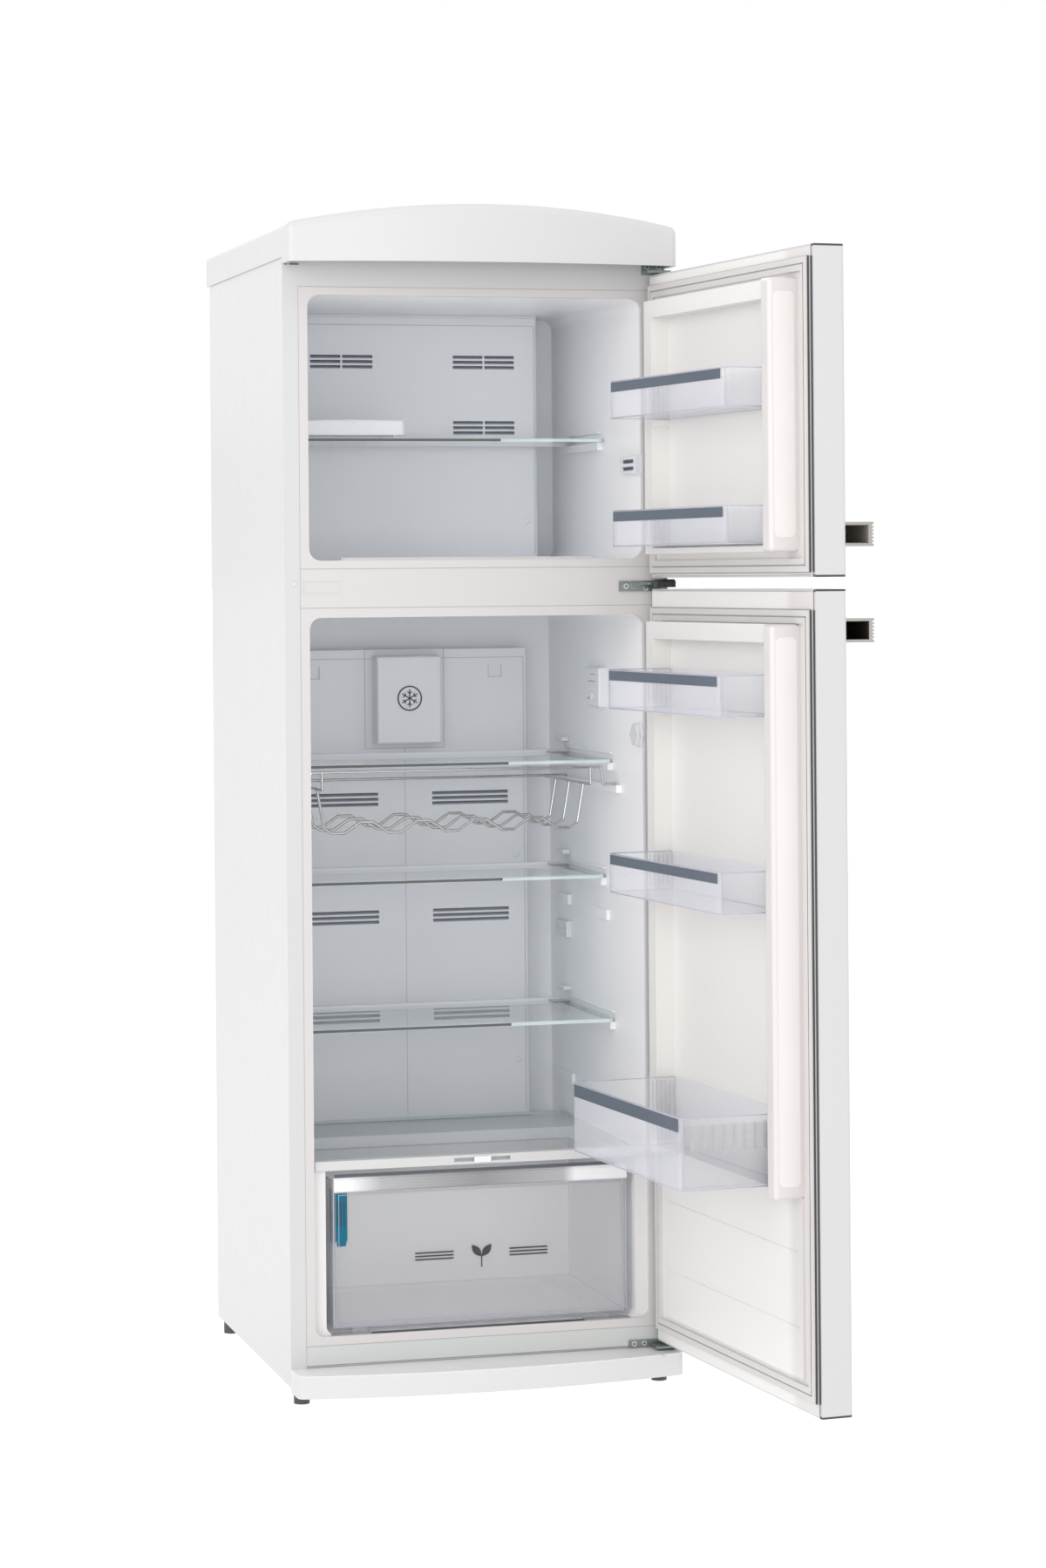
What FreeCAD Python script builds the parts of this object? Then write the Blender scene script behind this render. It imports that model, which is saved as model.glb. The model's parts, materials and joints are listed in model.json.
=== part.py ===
"""Top freezer refrigerator in a rounded retro style, modelled in millimetres.

+Z is up, +X is the right-hand side seen from the front, and the doors face -Y. The origin lies on
the floor, midway between the four feet. Both doors stand open on their right-hand hinges.
"""
import FreeCAD, Part
import Sketcher
import math
import os

from FreeCAD import Placement, Rotation, Vector

os.makedirs("parts", exist_ok=True)
doc = FreeCAD.newDocument("top_freezer_refrigerator")

# Driving dimensions, in millimetres. Heights are above the floor, and depths are measured from the
# middle of the cabinet, negative towards the front.
DIMENSIONS = {
    # cabinet
    "half_width": 300, "half_depth": 295, "cabinet_bottom": 26, "cabinet_top": 1720,
    "sheet": 1, "post_width": 24, "front_strip_bottom": 1677.3,
    # liners
    "flange_thickness": 2, "liner_wall": 2, "cavity_half_width": 262, "ledge_width": 8,
    "ledge_height": 12, "cavity_corner": 18, "bay_corner": 14,
    "freezer_floor": 1266, "freezer_ceiling": 1665, "freezer_back": 218,
    "freezer_flange_bottom": 1253.5, "freezer_flange_top": 1677,
    "fridge_floor": 100, "fridge_ceiling": 1180, "fridge_back": 250,
    "fridge_flange_bottom": 86.5, "fridge_flange_top": 1194.5,
    "crisper_half_width": 243, "crisper_top": 347, "crisper_step": -285, "crisper_back": 50,
    # doors, measured closed
    "door_angle": 95, "hinge_across": 288, "hinge_depth": -318, "door_back": -303,
    "door_edge_front": -350, "door_bow": 31, "door_corner": 6, "cap_thickness": 3,
    "freezer_door_bottom": 1236, "freezer_door_top": 1699,
    "fridge_door_bottom": 66.5, "fridge_door_top": 1219,
    "pin_radius": 5, "pin_length": 15, "bushing_radius": 5.06, "bushing_wall": 5,
    # crown and kick plate
    "crown_overhang": 3, "crown_back": 305, "crown_shoulder": 1770, "crown_rise": 28.6,
    "crown_apron": 1711, "crown_front": -349, "crown_bow": 32, "crown_wall": 6,
    "crown_rounding": 12, "kick_bottom": 20, "kick_top": 54, "kick_wall": 3,
    # fittings
    "shelf_glass": 5.5, "shelf_half_width": 259, "shelf_back": 160, "ledge_gap": 0.3,
    "wire_radius": 2.2, "foot_radius": 12, "foot_across": 281, "foot_spacing": 280,
}


class Size:
    """A length that carries its formula in sheet cells beside its value."""

    def __init__(self, formula, value):
        self.formula, self.value = formula, value

    def __add__(self, other):
        other = as_size(other)
        return Size(f"({self.formula} + {other.formula})", self.value + other.value)

    def __sub__(self, other):
        other = as_size(other)
        return Size(f"({self.formula} - {other.formula})", self.value - other.value)

    def __mul__(self, other):
        other = as_size(other)
        return Size(f"({self.formula} * {other.formula})", self.value * other.value)

    def __truediv__(self, other):
        other = as_size(other)
        return Size(f"({self.formula} / {other.formula})", self.value / other.value)

    def __neg__(self):
        return Size(f"(-1 * {self.formula})", -self.value)

    def __radd__(self, other):
        return as_size(other) + self

    def __rsub__(self, other):
        return as_size(other) - self


def as_size(number):
    """Give a plain number as a Size, and a Size as itself."""
    return number if isinstance(number, Size) else Size(f"({number})", number)


def root(size):
    """The square root of a size."""
    return Size(f"sqrt({size.formula})", math.sqrt(size.value))


def fill_sheet(dimensions):
    """Write each dimension in a row of the sheet, with its alias, and give the sizes by name."""
    sheet = doc.addObject("Spreadsheet::Sheet", "Dims")
    sizes = {}
    for row, (name, value) in enumerate(dimensions.items(), start=1):
        sheet.set(f"A{row}", name.replace("_", " "))
        sheet.set(f"B{row}", str(value))
        sheet.setAlias(f"B{row}", name)
        sizes[name] = Size(f"Dims.{name}", value)
    doc.recompute()
    return sizes


class Sheet:
    """The sheet's sizes as attributes."""

    def __init__(self, sizes):
        self.__dict__.update(sizes)


d = Sheet(fill_sheet(DIMENSIONS))
FRONT = -d.half_depth


# ---- drawing helpers ----

def bind(item, prop, size):
    """Tie a property to a size's formula."""
    item.setExpression(prop, as_size(size).formula)


def block(name, x, y, z):
    """A box between the low and high sizes on each axis."""
    box = doc.addObject("Part::Box", name)
    for prop, (low, high) in zip(("Length", "Width", "Height"), (x, y, z)):
        bind(box, prop, as_size(high) - low)
    for axis, (low, _) in zip("xyz", (x, y, z)):
        bind(box, f"Placement.Base.{axis}", low)
    return box


TURNS = {
    "X": Rotation(Vector(0, 1, 0), 90),
    "Y": Rotation(Vector(1, 0, 0), -90),
    "Z": Rotation(),
}


def rod(name, axis, start, radius, length):
    """A cylinder that runs along an axis from its start point."""
    cylinder = doc.addObject("Part::Cylinder", name)
    cylinder.Placement.Rotation = TURNS[axis]
    bind(cylinder, "Radius", radius)
    bind(cylinder, "Height", length)
    for letter, place in zip("xyz", start):
        bind(cylinder, f"Placement.Base.{letter}", place)
    return cylinder


def fuse(name, shapes):
    """One solid, or a group of solids, from several shapes."""
    joined = doc.addObject("Part::MultiFuse", name)
    joined.Shapes = shapes
    joined.Refine = True
    return joined


def cut(name, base, tools):
    """The base without the tools."""
    result = doc.addObject("Part::Cut", name)
    result.Base = base
    result.Tool = tools[0] if len(tools) == 1 else fuse(f"{name}_tools", tools)
    return result


def common(name, first, second):
    """What two shapes share."""
    result = doc.addObject("Part::Common", name)
    result.Base, result.Tool = first, second
    return result


def round_edges(name, base, radius, choose):
    """A fillet on the edges that choose accepts."""
    doc.recompute()
    result = doc.addObject("Part::Fillet", name)
    result.Base = base
    number = radius.value
    result.Edges = [
        (index, number, number) for index, edge in enumerate(base.Shape.Edges, start=1) if choose(edge)
    ]
    return result


# For each sketch plane: the role of the origin plane, and the sign that turns a place along the
# plane's own axis into the sketch's offset.
PLANES = {"XY": ("XY_Plane", 1), "XZ": ("XZ_Plane", -1), "YZ": ("YZ_Plane", 1)}


def sketch_on(body, plane, name, place):
    """An empty sketch on one of the body's origin planes, moved to a place along its normal."""
    sketch = body.newObject("Sketcher::SketchObject", name)
    role, sign = PLANES[plane]
    origin_plane = [item for item in body.Origin.OriginFeatures if item.Role == role][0]
    sketch.AttachmentSupport = [(origin_plane, "")]
    sketch.MapMode = "FlatFace"
    bind(sketch, "AttachmentOffset.Base.z", as_size(place) * sign)
    return sketch


def edge_between(first, last, sagitta):
    """A line, or an arc that bulges to the right of its way by the sagitta, and its radius."""
    begin = Vector(first[0].value, first[1].value, 0)
    end = Vector(last[0].value, last[1].value, 0)
    if sagitta is None:
        return Part.LineSegment(begin, end), None
    way = (end - begin).normalize()
    middle = (begin + end) / 2 + Vector(way.y, -way.x, 0) * sagitta.value
    across, along = last[0] - first[0], last[1] - first[1]
    radius = (across * across + along * along) / (sagitta * 8) + sagitta / 2
    return Part.Arc(begin, middle, end), radius


def draw_loop(sketch, points):
    """Close the points with lines, or with an arc after each point that carries a sagitta."""
    corners = [(as_size(p[0]), as_size(p[1])) for p in points]
    sagittas = [as_size(p[2]) if len(p) > 2 else None for p in points]
    edges = []
    for index, corner in enumerate(corners):
        following = corners[(index + 1) % len(corners)]
        shape, radius = edge_between(corner, following, sagittas[index])
        geometry = sketch.addGeometry(shape, False)
        drawn = sketch.Geometry[geometry].StartPoint
        forwards = drawn.distanceToPoint(Vector(corner[0].value, corner[1].value, 0)) < 1e-6
        edges.append((geometry, (1, 2) if forwards else (2, 1), radius))
    tie_loop(sketch, corners, edges)


def tie_loop(sketch, corners, edges):
    """Join the edges end to end, and bind each corner and radius to its formula."""
    for index, (geometry, ends, radius) in enumerate(edges):
        following, next_ends, _ = edges[(index + 1) % len(edges)]
        meeting = Sketcher.Constraint("Coincident", geometry, ends[1], following, next_ends[0])
        sketch.addConstraint(meeting)
        for kind, place in zip(("DistanceX", "DistanceY"), corners[index]):
            tie(sketch, Sketcher.Constraint(kind, -1, 1, geometry, ends[0], place.value), place)
        if radius is not None:
            tie(sketch, Sketcher.Constraint("Radius", geometry, radius.value), radius)


def tie(sketch, constraint, size):
    """Add a constraint and bind its number to a size."""
    index = sketch.addConstraint(constraint)
    name = f"size_{index}"
    sketch.renameConstraint(index, name)
    bind(sketch, f"Constraints.{name}", size)


def rectangle(low_u, high_u, low_v, high_v):
    """The corners of an upright rectangle, counter-clockwise."""
    return [(low_u, low_v), (high_u, low_v), (high_u, high_v), (low_u, high_v)]


def new_body(name):
    """An empty PartDesign body."""
    return doc.addObject("PartDesign::Body", name)


def pad(body, plane, loops, start, end):
    """Add the loops to the body, from start to end along the plane's axis."""
    count = len(body.Group)
    sketch = sketch_on(body, plane, f"{body.Name}_sketch_{count}", end if plane == "XZ" else start)
    for loop in loops:
        draw_loop(sketch, loop)
    feature = body.newObject("PartDesign::Pad", f"{body.Name}_pad_{count}")
    feature.Profile = sketch
    bind(feature, "Length", as_size(end) - start)
    return feature


def pocket(body, plane, loops, start, end):
    """Cut the loops from the body, from start to end along the plane's axis."""
    doc.recompute()
    before = body.Shape.Volume
    count = len(body.Group)
    sketch = sketch_on(body, plane, f"{body.Name}_sketch_{count}", start if plane == "XZ" else end)
    for loop in loops:
        draw_loop(sketch, loop)
    feature = body.newObject("PartDesign::Pocket", f"{body.Name}_pocket_{count}")
    feature.Profile = sketch
    bind(feature, "Length", as_size(end) - start)
    doc.recompute()
    if body.Shape.Volume > before - 1e-3:
        raise RuntimeError(f"{body.Name}: pocket {count} cuts nothing")
    return feature


def soften(body, radius, choose):
    """Fillet the body's edges that choose accepts."""
    doc.recompute()
    tip = body.Tip
    names = [f"Edge{i}" for i, edge in enumerate(tip.Shape.Edges, start=1) if choose(edge)]
    feature = body.newObject("PartDesign::Fillet", f"{body.Name}_fillet_{len(body.Group)}")
    feature.Base = (tip, names)
    bind(feature, "Radius", radius)
    return feature


def along(axis, *tests):
    """Accept straight edges along an axis whose middle passes every test."""
    direction = {"X": Vector(1, 0, 0), "Y": Vector(0, 1, 0), "Z": Vector(0, 0, 1)}[axis]

    def choose(edge):
        if len(edge.Vertexes) != 2 or edge.Curve.TypeId != "Part::GeomLine":
            return False
        way = edge.Vertexes[1].Point - edge.Vertexes[0].Point
        if way.cross(direction).Length > 1e-6 * way.Length:
            return False
        return all(test(edge.CenterOfMass) for test in tests)

    return choose


def near(first, second, tolerance=0.01):
    """Are two numbers the same within the tolerance?"""
    return abs(first - second) < tolerance


def mirrored(low, high):
    """A range and its mirror image across the middle plane."""
    return ((low, high), (-as_size(high), -as_size(low)))


FINISHED = []


def finish(item, name):
    """Label a piece and put it on the list of pieces to write."""
    item.Label = name
    FINISHED.append(item)
    return item


# ---- cabinet ----

def make_outer_wrapper():
    """Side panels, top deck and front posts, bent from one painted sheet."""
    post = d.half_width - d.post_width
    outside = block(
        "wrapper_outside", (-d.half_width, d.half_width), (FRONT, d.half_depth),
        (d.cabinet_bottom, d.cabinet_top),
    )
    inside = block(
        "wrapper_inside", (d.sheet - d.half_width, d.half_width - d.sheet),
        (FRONT + d.sheet, d.half_depth + 1), (d.cabinet_bottom - 1, d.cabinet_top - d.sheet),
    )
    window = block(
        "wrapper_window", (-post, post), (FRONT - 1, FRONT + d.sheet + 1),
        (d.cabinet_bottom - 1, d.front_strip_bottom),
    )
    finish(cut("outer_wrapper_shape", outside, [inside, window]), "outer_wrapper")


def make_rear_panel():
    """Flat sheet over the back of the cabinet, above the machine compartment."""
    inner = d.half_width - d.sheet - 0.2
    panel = block("rear_sheet", (-inner, inner), (d.half_depth - 1, d.half_depth), (292, 1718.8))
    bead_low = block("rear_bead_low", (-220, 220), (d.half_depth, d.half_depth + 2), (520, 540))
    bead_high = block("rear_bead_high", (-220, 220), (d.half_depth, d.half_depth + 2), (1380, 1400))
    finish(fuse("rear_panel_shape", [panel, bead_low, bead_high]), "rear_panel")


def make_base_pan():
    """Bottom pan with its front lip, and the wall and roof of the machine compartment."""
    inner = d.half_width - d.sheet - 0.2
    body = new_body("base_pan_body")
    pan = [
        (-292, 28), (293, 28), (293, 40), (291.5, 40), (291.5, 30), (-290.5, 30), (-290.5, 56), (-292, 56),
    ]
    pad(body, "YZ", [pan], -inner, inner)
    for x in mirrored(d.foot_across - 6, d.foot_across + 6):
        pocket(body, "XY", [rectangle(x[0], x[1], -286, -274)], 27, 31)
    finish(body, "base_pan")
    cover = new_body("machine_cover_body")
    profile = [
        (-292, 90), (58, 90), (58, 289), (293, 289), (293, 290.5), (56.5, 290.5), (56.5, 91.5), (-292, 91.5),
    ]
    pad(cover, "YZ", [profile], -inner, inner)
    finish(cover, "machine_cover")


def add_ledges(body, half_width, top, y):
    """A pair of moulded ledges on the side walls, with their tops at the given height."""
    for x in mirrored(half_width - d.ledge_width, half_width + 1):
        pad(body, "XY", [rectangle(x[0], x[1], y[0], y[1])], top - d.ledge_height, top)


FREEZER_SHELF_TOP = 1457.5
FRIDGE_SHELVES = (("fridge_shelf_1", 950, -127), ("fridge_shelf_2", 765, -85), ("fridge_shelf_3", 541, -131))
RACK_RAIL_HEIGHT = 913


def long_edges(places):
    """Accept the edges along the depth that run through any of the places, given across and up."""
    numbers = [(across.value, up.value) for across, up in places]
    return along("Y", lambda p: any(near(abs(p.x), x) and near(p.z, z) for x, z in numbers))


def make_freezer_liner():
    """Moulded freezer tub with its front flange, floor lip and shelf ledges."""
    wide, wall = d.cavity_half_width, d.liner_wall
    floor, ceiling = d.freezer_floor, d.freezer_ceiling
    flange = d.half_width - d.post_width
    face = FRONT + d.flange_thickness
    body = new_body("freezer_liner_body")
    plate = rectangle(-flange, flange, d.freezer_flange_bottom, d.freezer_flange_top)
    pad(body, "XZ", [plate], FRONT, face)
    tub = rectangle(-wide - wall, wide + wall, floor - wall, ceiling + wall)
    pad(body, "XZ", [tub], face, d.freezer_back + wall)
    pocket(body, "XZ", [rectangle(-wide, wide, floor, ceiling)], FRONT, d.freezer_back)
    soften(body, d.cavity_corner, long_edges([(wide, floor), (wide, ceiling)]))
    outer = [(wide + wall, floor - wall), (wide + wall, ceiling + wall)]
    soften(body, d.cavity_corner + wall, long_edges(outer))
    add_ledges(body, wide, FREEZER_SHELF_TOP - d.shelf_glass - d.ledge_gap, (-75, 112))
    pad(body, "XY", [rectangle(-207, 184, -288, -268)], floor - 1, floor + 4)
    finish(body, "freezer_liner")


def make_fridge_liner():
    """Moulded fresh food tub: wide above, narrower and shallower around the crisper."""
    wide, wall, narrow = d.cavity_half_width, d.liner_wall, d.crisper_half_width
    floor, ceiling, middle = d.fridge_floor, d.fridge_ceiling, d.crisper_top
    flange = d.half_width - d.post_width
    face, step = FRONT + d.flange_thickness, d.crisper_step
    body = new_body("fridge_liner_body")
    plate = rectangle(-flange, flange, d.fridge_flange_bottom, d.fridge_flange_top)
    pad(body, "XZ", [plate], FRONT, face)
    tub = rectangle(-wide - wall, wide + wall, middle - wall, ceiling + wall)
    pad(body, "XZ", [tub], face, d.fridge_back + wall)
    mouth = rectangle(-wide - wall, wide + wall, floor - wall, middle)
    pad(body, "XZ", [mouth], face, step + wall)
    bay = rectangle(-narrow - wall, narrow + wall, floor - wall, middle)
    pad(body, "XZ", [bay], step, d.crisper_back + wall)
    pocket(body, "XZ", [rectangle(-wide, wide, middle, ceiling)], FRONT, d.fridge_back)
    pocket(body, "XZ", [rectangle(-wide, wide, floor, middle + 1)], FRONT, step)
    pocket(body, "XZ", [rectangle(-narrow, narrow, floor, middle + 1)], FRONT, d.crisper_back)
    soften(body, d.cavity_corner, long_edges([(wide, ceiling)]))
    soften(body, d.cavity_corner + wall, long_edges([(wide + wall, ceiling + wall)]))
    soften(body, d.bay_corner, long_edges([(narrow, floor), (wide, floor)]))
    outer = [(narrow + wall, floor - wall), (wide + wall, floor - wall)]
    soften(body, d.bay_corner + wall, long_edges(outer))
    for _, top, front in FRIDGE_SHELVES:
        add_ledges(body, wide, top - d.shelf_glass - d.ledge_gap, (front + 8, 152))
    add_ledges(body, wide, RACK_RAIL_HEIGHT - d.wire_radius - d.ledge_gap, (-165, 150))
    for low_y, high_y, low_z in ((128, 190, 700), (-95, -30, 693), (112, 215, 407)):
        for x in mirrored(wide - 5, wide + 1):
            pad(body, "XY", [rectangle(x[0], x[1], low_y, high_y)], low_z, low_z + 16)
    for x in mirrored(180, 200):
        pad(body, "XY", [rectangle(x[0], x[1], -276, 44)], floor - 1, floor + 6.7)
    finish(body, "fridge_liner")


def make_cabinet_foam():
    """Insulation between the wrapper and the liners."""
    inner = d.half_width - d.sheet - 0.3
    gap = d.liner_wall + 0.5
    tub = d.cavity_half_width + gap
    slab = block("foam_slab", (-inner, inner), (FRONT + 2.5, d.half_depth - 1.5), (92, d.cabinet_top - 1.5))
    freezer = block(
        "foam_freezer", (-tub, tub), (FRONT, d.freezer_back + gap),
        (d.freezer_floor - gap, d.freezer_ceiling + gap),
    )
    fridge = block(
        "foam_fridge", (-tub, tub), (FRONT, d.fridge_back + gap),
        (d.crisper_top - gap, d.fridge_ceiling + gap),
    )
    step = block(
        "foam_step", (-tub, tub), (FRONT, d.crisper_step + gap), (80, d.crisper_top)
    )
    crisper_half = d.crisper_half_width + gap
    crisper = block(
        "foam_crisper", (-crisper_half, crisper_half), (FRONT, d.crisper_back + gap),
        (d.fridge_floor - gap, d.crisper_top),
    )
    mullion = block("foam_mullion", (-277, 277), (FRONT, -276), (1194, 1254))
    machine = block("foam_machine", (-inner - 1, inner + 1), (56, 300), (80, 291))
    rail = block("foam_rail", (-277, 277), (FRONT, -270), (50, 97))
    tools = [freezer, fridge, step, crisper, mullion, machine, rail]
    finish(cut("cabinet_foam_shape", slab, tools), "cabinet_foam")


def make_mullion_cover():
    """Channel between the two openings, with a shallow recess near its left end."""
    flange = d.half_width - d.post_width
    low, high = d.fridge_flange_top + 0.2, d.freezer_flange_bottom - 0.2
    body = new_body("mullion_cover_body")
    pad(body, "XZ", [rectangle(-flange, flange, low, high)], FRONT, FRONT + 18)
    pocket(body, "XZ", [rectangle(-flange - 1, flange + 1, low + 2, high - 2)], FRONT + 2, FRONT + 19)
    pocket(body, "XZ", [rectangle(-272, -215, 1216, 1235)], FRONT, FRONT + 1)
    finish(body, "mullion_cover")


def make_bottom_rail():
    """Steel channel under the lower opening."""
    flange = d.half_width - d.post_width
    body = new_body("bottom_rail_body")
    pad(body, "XZ", [rectangle(-flange, flange, 57.3, 86.3)], FRONT, FRONT + 20)
    pocket(body, "XZ", [rectangle(-flange - 1, flange + 1, 58.8, 84.8)], FRONT + 1.5, FRONT + 21)
    finish(body, "bottom_rail")


def bowed_outline(half, edge_front, bow, back):
    """A plan outline whose front edge bows forward."""
    return [(-half, edge_front, bow), (half, edge_front), (half, back), (-half, back)]


def make_kick_plate():
    """Bowed cover below the lower door, open at the back and underneath."""
    body = new_body("kick_plate_body")
    wall = d.kick_wall
    outside = bowed_outline(d.half_width, d.crown_front, d.crown_bow, FRONT - 0.2)
    inside = bowed_outline(d.half_width - wall, d.crown_front + wall, d.crown_bow, FRONT + 2)
    pad(body, "XY", [outside], d.kick_bottom, d.kick_top)
    front_corner = d.crown_front.value
    soften(body, d.crown_rounding, along("Z", lambda p: near(p.y, front_corner)))
    pocket(body, "XY", [inside], d.kick_bottom - 1, d.kick_top - wall)
    inner_corner = (d.crown_front + wall).value
    soften(body, d.crown_rounding - wall, along("Z", lambda p: near(p.y, inner_corner)))
    finish(body, "kick_plate")


def crown_solid(name, inset, low, low_front):
    """The crown's outer form, or its inner form when inset by the wall."""
    half = d.half_width + d.crown_overhang - inset
    plan = new_body(f"{name}_plan")
    outline = bowed_outline(half, d.crown_front + inset, d.crown_bow, d.crown_back - inset)
    pad(plan, "XY", [outline], 1690, 1840)
    arch = new_body(f"{name}_arch")
    shoulder = d.crown_shoulder - inset
    rise = d.crown_rise
    profile = [(-half, low), (half, low), (half, shoulder, rise), (-half, shoulder)]
    pad(arch, "XZ", [profile], -420, 320)
    pad(arch, "XZ", [rectangle(-half, half, low_front, low + 1)], -420, FRONT - 1)
    return common(f"{name}_form", plan, arch)


def make_top_crown():
    """Hollow arched cap that overhangs the doors, with rounded edges."""
    outer = crown_solid("crown_outer", as_size(0), d.cabinet_top + 0.2, d.crown_apron)
    shoulder = d.crown_shoulder.value - 2
    side = (d.half_width + d.crown_overhang).value
    corner = along("Z", lambda p: near(abs(p.x), side) and p.y < 0)

    def top_edge(edge):
        middle = edge.CenterOfMass
        return min(vertex.Z for vertex in edge.Vertexes) > shoulder and middle.y < 290

    rounded = round_edges(
        "crown_rounded", outer, d.crown_rounding, lambda edge: corner(edge) or top_edge(edge)
    )
    inner = crown_solid("crown_inner", d.crown_wall, d.cabinet_top - 2, d.crown_apron - 2)
    finish(cut("top_crown_shape", rounded, [inner]), "top_crown")


# ---- hinges ----

HINGE = (d.hinge_across, d.hinge_depth)
LEAF = 3
SCREW_PLACES = []


def hinge_plate(name, leaf_x, leaf_z, arm_z, pins, screws):
    """A leaf screwed to the cabinet's front, with an arm that carries the hinge pins."""
    leaf = block(f"{name}_leaf", leaf_x, (FRONT - LEAF, FRONT), leaf_z)
    arm = block(f"{name}_arm", (262, 299), (d.hinge_depth - 12, FRONT - LEAF + 1), arm_z)
    parts = [leaf, arm]
    for index, low in enumerate(pins):
        parts.append(rod(f"{name}_pin_{index}", "Z", (*HINGE, low), d.pin_radius, d.pin_length))
    holes = []
    for index, (x, z) in enumerate(screws):
        holes.append(rod(f"{name}_hole_{index}", "Y", (x, FRONT - LEAF - 1, z), 2.7, LEAF + 2))
        SCREW_PLACES.append((x, z))
    finish(cut(f"{name}_shape", fuse(f"{name}_solid", parts), holes), name)


def make_hinges():
    """Top, middle and bottom hinges on one upright axis."""
    hinge_plate("top_hinge", (262, 297), (1701, 1719), (1702, 1706), [1687], [(270, 1713), (289, 1713)])
    hinge_plate(
        "middle_hinge", (222, 298), (1215.5, 1231.5), (1225.5, 1229.5),
        [1229.5, 1210.5], [(232.6, 1223.5), (264, 1220.5)],
    )
    hinge_plate("bottom_hinge", (228, 298), (55.5, 66.5), (57, 61), [61], [(236, 61), (252, 61)])


def make_front_screws():
    """Pan-head screws of the hinges, and the plug in the left-hand post."""
    parts = []
    for index, (x, z) in enumerate(SCREW_PLACES):
        parts.append(rod(f"screw_head_{index}", "Y", (x, FRONT - LEAF - 1.8, z), 4.4, 1.8))
        parts.append(rod(f"screw_shank_{index}", "Y", (x, FRONT - LEAF - 0.5, z), 2.5, LEAF + 0.3))
    parts.append(rod("post_plug", "Y", (-286, FRONT - 1.2, 1231), 3.4, 1.2))
    finish(fuse("front_screws_shape", parts), "front_screws")


# ---- air ducts ----

def grille_slots(name, x, z, y, bar):
    """Cutters for three slots, split in the middle where the grille has a bar of some half width."""
    pitch = (z[1] - z[0]) / 2.65
    middle = (x[0] + x[1]) / 2
    spans = [(x[0], middle - bar), (middle + bar, x[1])] if bar else [x]
    cutters = []
    for row in range(3):
        low = z[0] + row * pitch
        for side, span in enumerate(spans):
            cutters.append(block(f"{name}_{row}_{side}", span, y, (low, low + pitch * 0.65)))
    return cutters


def duct_cover(name, half, y, z, grilles, bar=0, extra=()):
    """A hollow cover that stands off the liner's back wall, with grilles in its front."""
    body = new_body(f"{name}_body")
    pad(body, "XY", [rectangle(-half, half, y[0], y[1])], z[0], z[1])
    soften(body, 6, along("Z", lambda p: near(p.y, y[0])))
    pocket(body, "XY", [rectangle(3 - half, half - 3, y[0] + 3, y[1] + 1)], z[0] + 3, z[1] - 3)
    cutters = list(extra)
    for index, (x, height) in enumerate(grilles):
        cutters += grille_slots(f"{name}_slot_{index}", x, height, (y[0] - 1, y[0] + 4), bar)
    finish(cut(f"{name}_shape", body, cutters), name)


def make_freezer_duct():
    """Cover over the evaporator, with an air grille near each corner."""
    rows = ((1577.5, 1599.5), (1471, 1493))
    grilles = [(x, row) for row in rows for x in ((-170, -67), (67, 170))]
    duct_cover("freezer_duct_panel", 209.5, (118, 216), (1268, 1661), grilles, bar=1.5)


def make_fridge_duct():
    """Air duct cover with three rows of grilles and a raised box below its top edge."""
    rows = ((865, 887), (672, 694), (510.5, 532.5))
    grilles = [(x, row) for row in rows for x in ((-174.5, -45.5), (45.5, 174.5))]
    notches = [
        block(f"duct_notch_{index}", x, (194, 196), (1074, 1095))
        for index, x in enumerate(((-165, -142), (142, 165)))
    ]
    duct_cover("fridge_duct_panel", 210, (195, 248), (349, 1121), grilles, extra=notches)
    body = new_body("duct_box_cover_body")
    pad(body, "XY", [rectangle(-54, 54, 158, 195)], 968, 1111)
    soften(body, 4, lambda edge: edge.BoundBox.YMax < 190)
    pocket(body, "XY", [rectangle(-51, 51, 161, 196)], 971, 1108)
    finish(body, "duct_box_cover")


# ---- cooling circuit ----

def make_evaporator():
    """Finned evaporator behind the freezer's back cover."""
    plates = [
        block(f"fin_{index}", (-172 + 24.5 * index, -171 + 24.5 * index), (140, 200), (1300, 1440))
        for index in range(15)
    ]
    tubes = [
        rod(f"coil_tube_{row}_{column}", "X", (-180, 150 + 20 * column, 1315 + 36 * row), 4, 360)
        for row in range(4) for column in range(3)
    ]
    ends = [
        block(f"coil_plate_{index}", (x, x + 2), (138, 202), (1298, 1442))
        for index, x in enumerate((-182, 180))
    ]
    finish(fuse("evaporator_shape", plates + tubes + ends), "evaporator")


FAN_HEIGHT = 1530


def make_fan():
    """Evaporator fan: a motor on the liner's back wall and a bladed rotor on its shaft."""
    motor = rod("fan_can", "Y", (0, 176, FAN_HEIGHT), 24, 40)
    shaft = rod("fan_shaft", "Y", (0, 146, FAN_HEIGHT), 2, 31)
    finish(fuse("fan_motor_shape", [motor, shaft]), "fan_motor")
    hub = rod("fan_hub", "Y", (0, 148, FAN_HEIGHT), 13, 20)
    blades = []
    for index in range(5):
        blade = doc.addObject("Part::Box", f"fan_blade_{index}")
        blade.Length, blade.Width, blade.Height = 26, 1.6, 38
        upright = Rotation(Vector(0, 1, 0), 72 * index)
        pitched = Rotation(Vector(0, 0, 1), 30)
        corner = Vector(0, 0, 10) + pitched.multVec(Vector(-13, -0.8, 0))
        start = Vector(0, 158, FAN_HEIGHT) + upright.multVec(corner)
        blade.Placement = Placement(start, upright.multiply(pitched))
        blades.append(blade)
    bore = rod("fan_bore", "Y", (0, 140, FAN_HEIGHT), 2.06, 40)
    finish(cut("fan_rotor_shape", fuse("fan_rotor_solid", [hub] + blades), [bore]), "fan_rotor")


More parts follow.
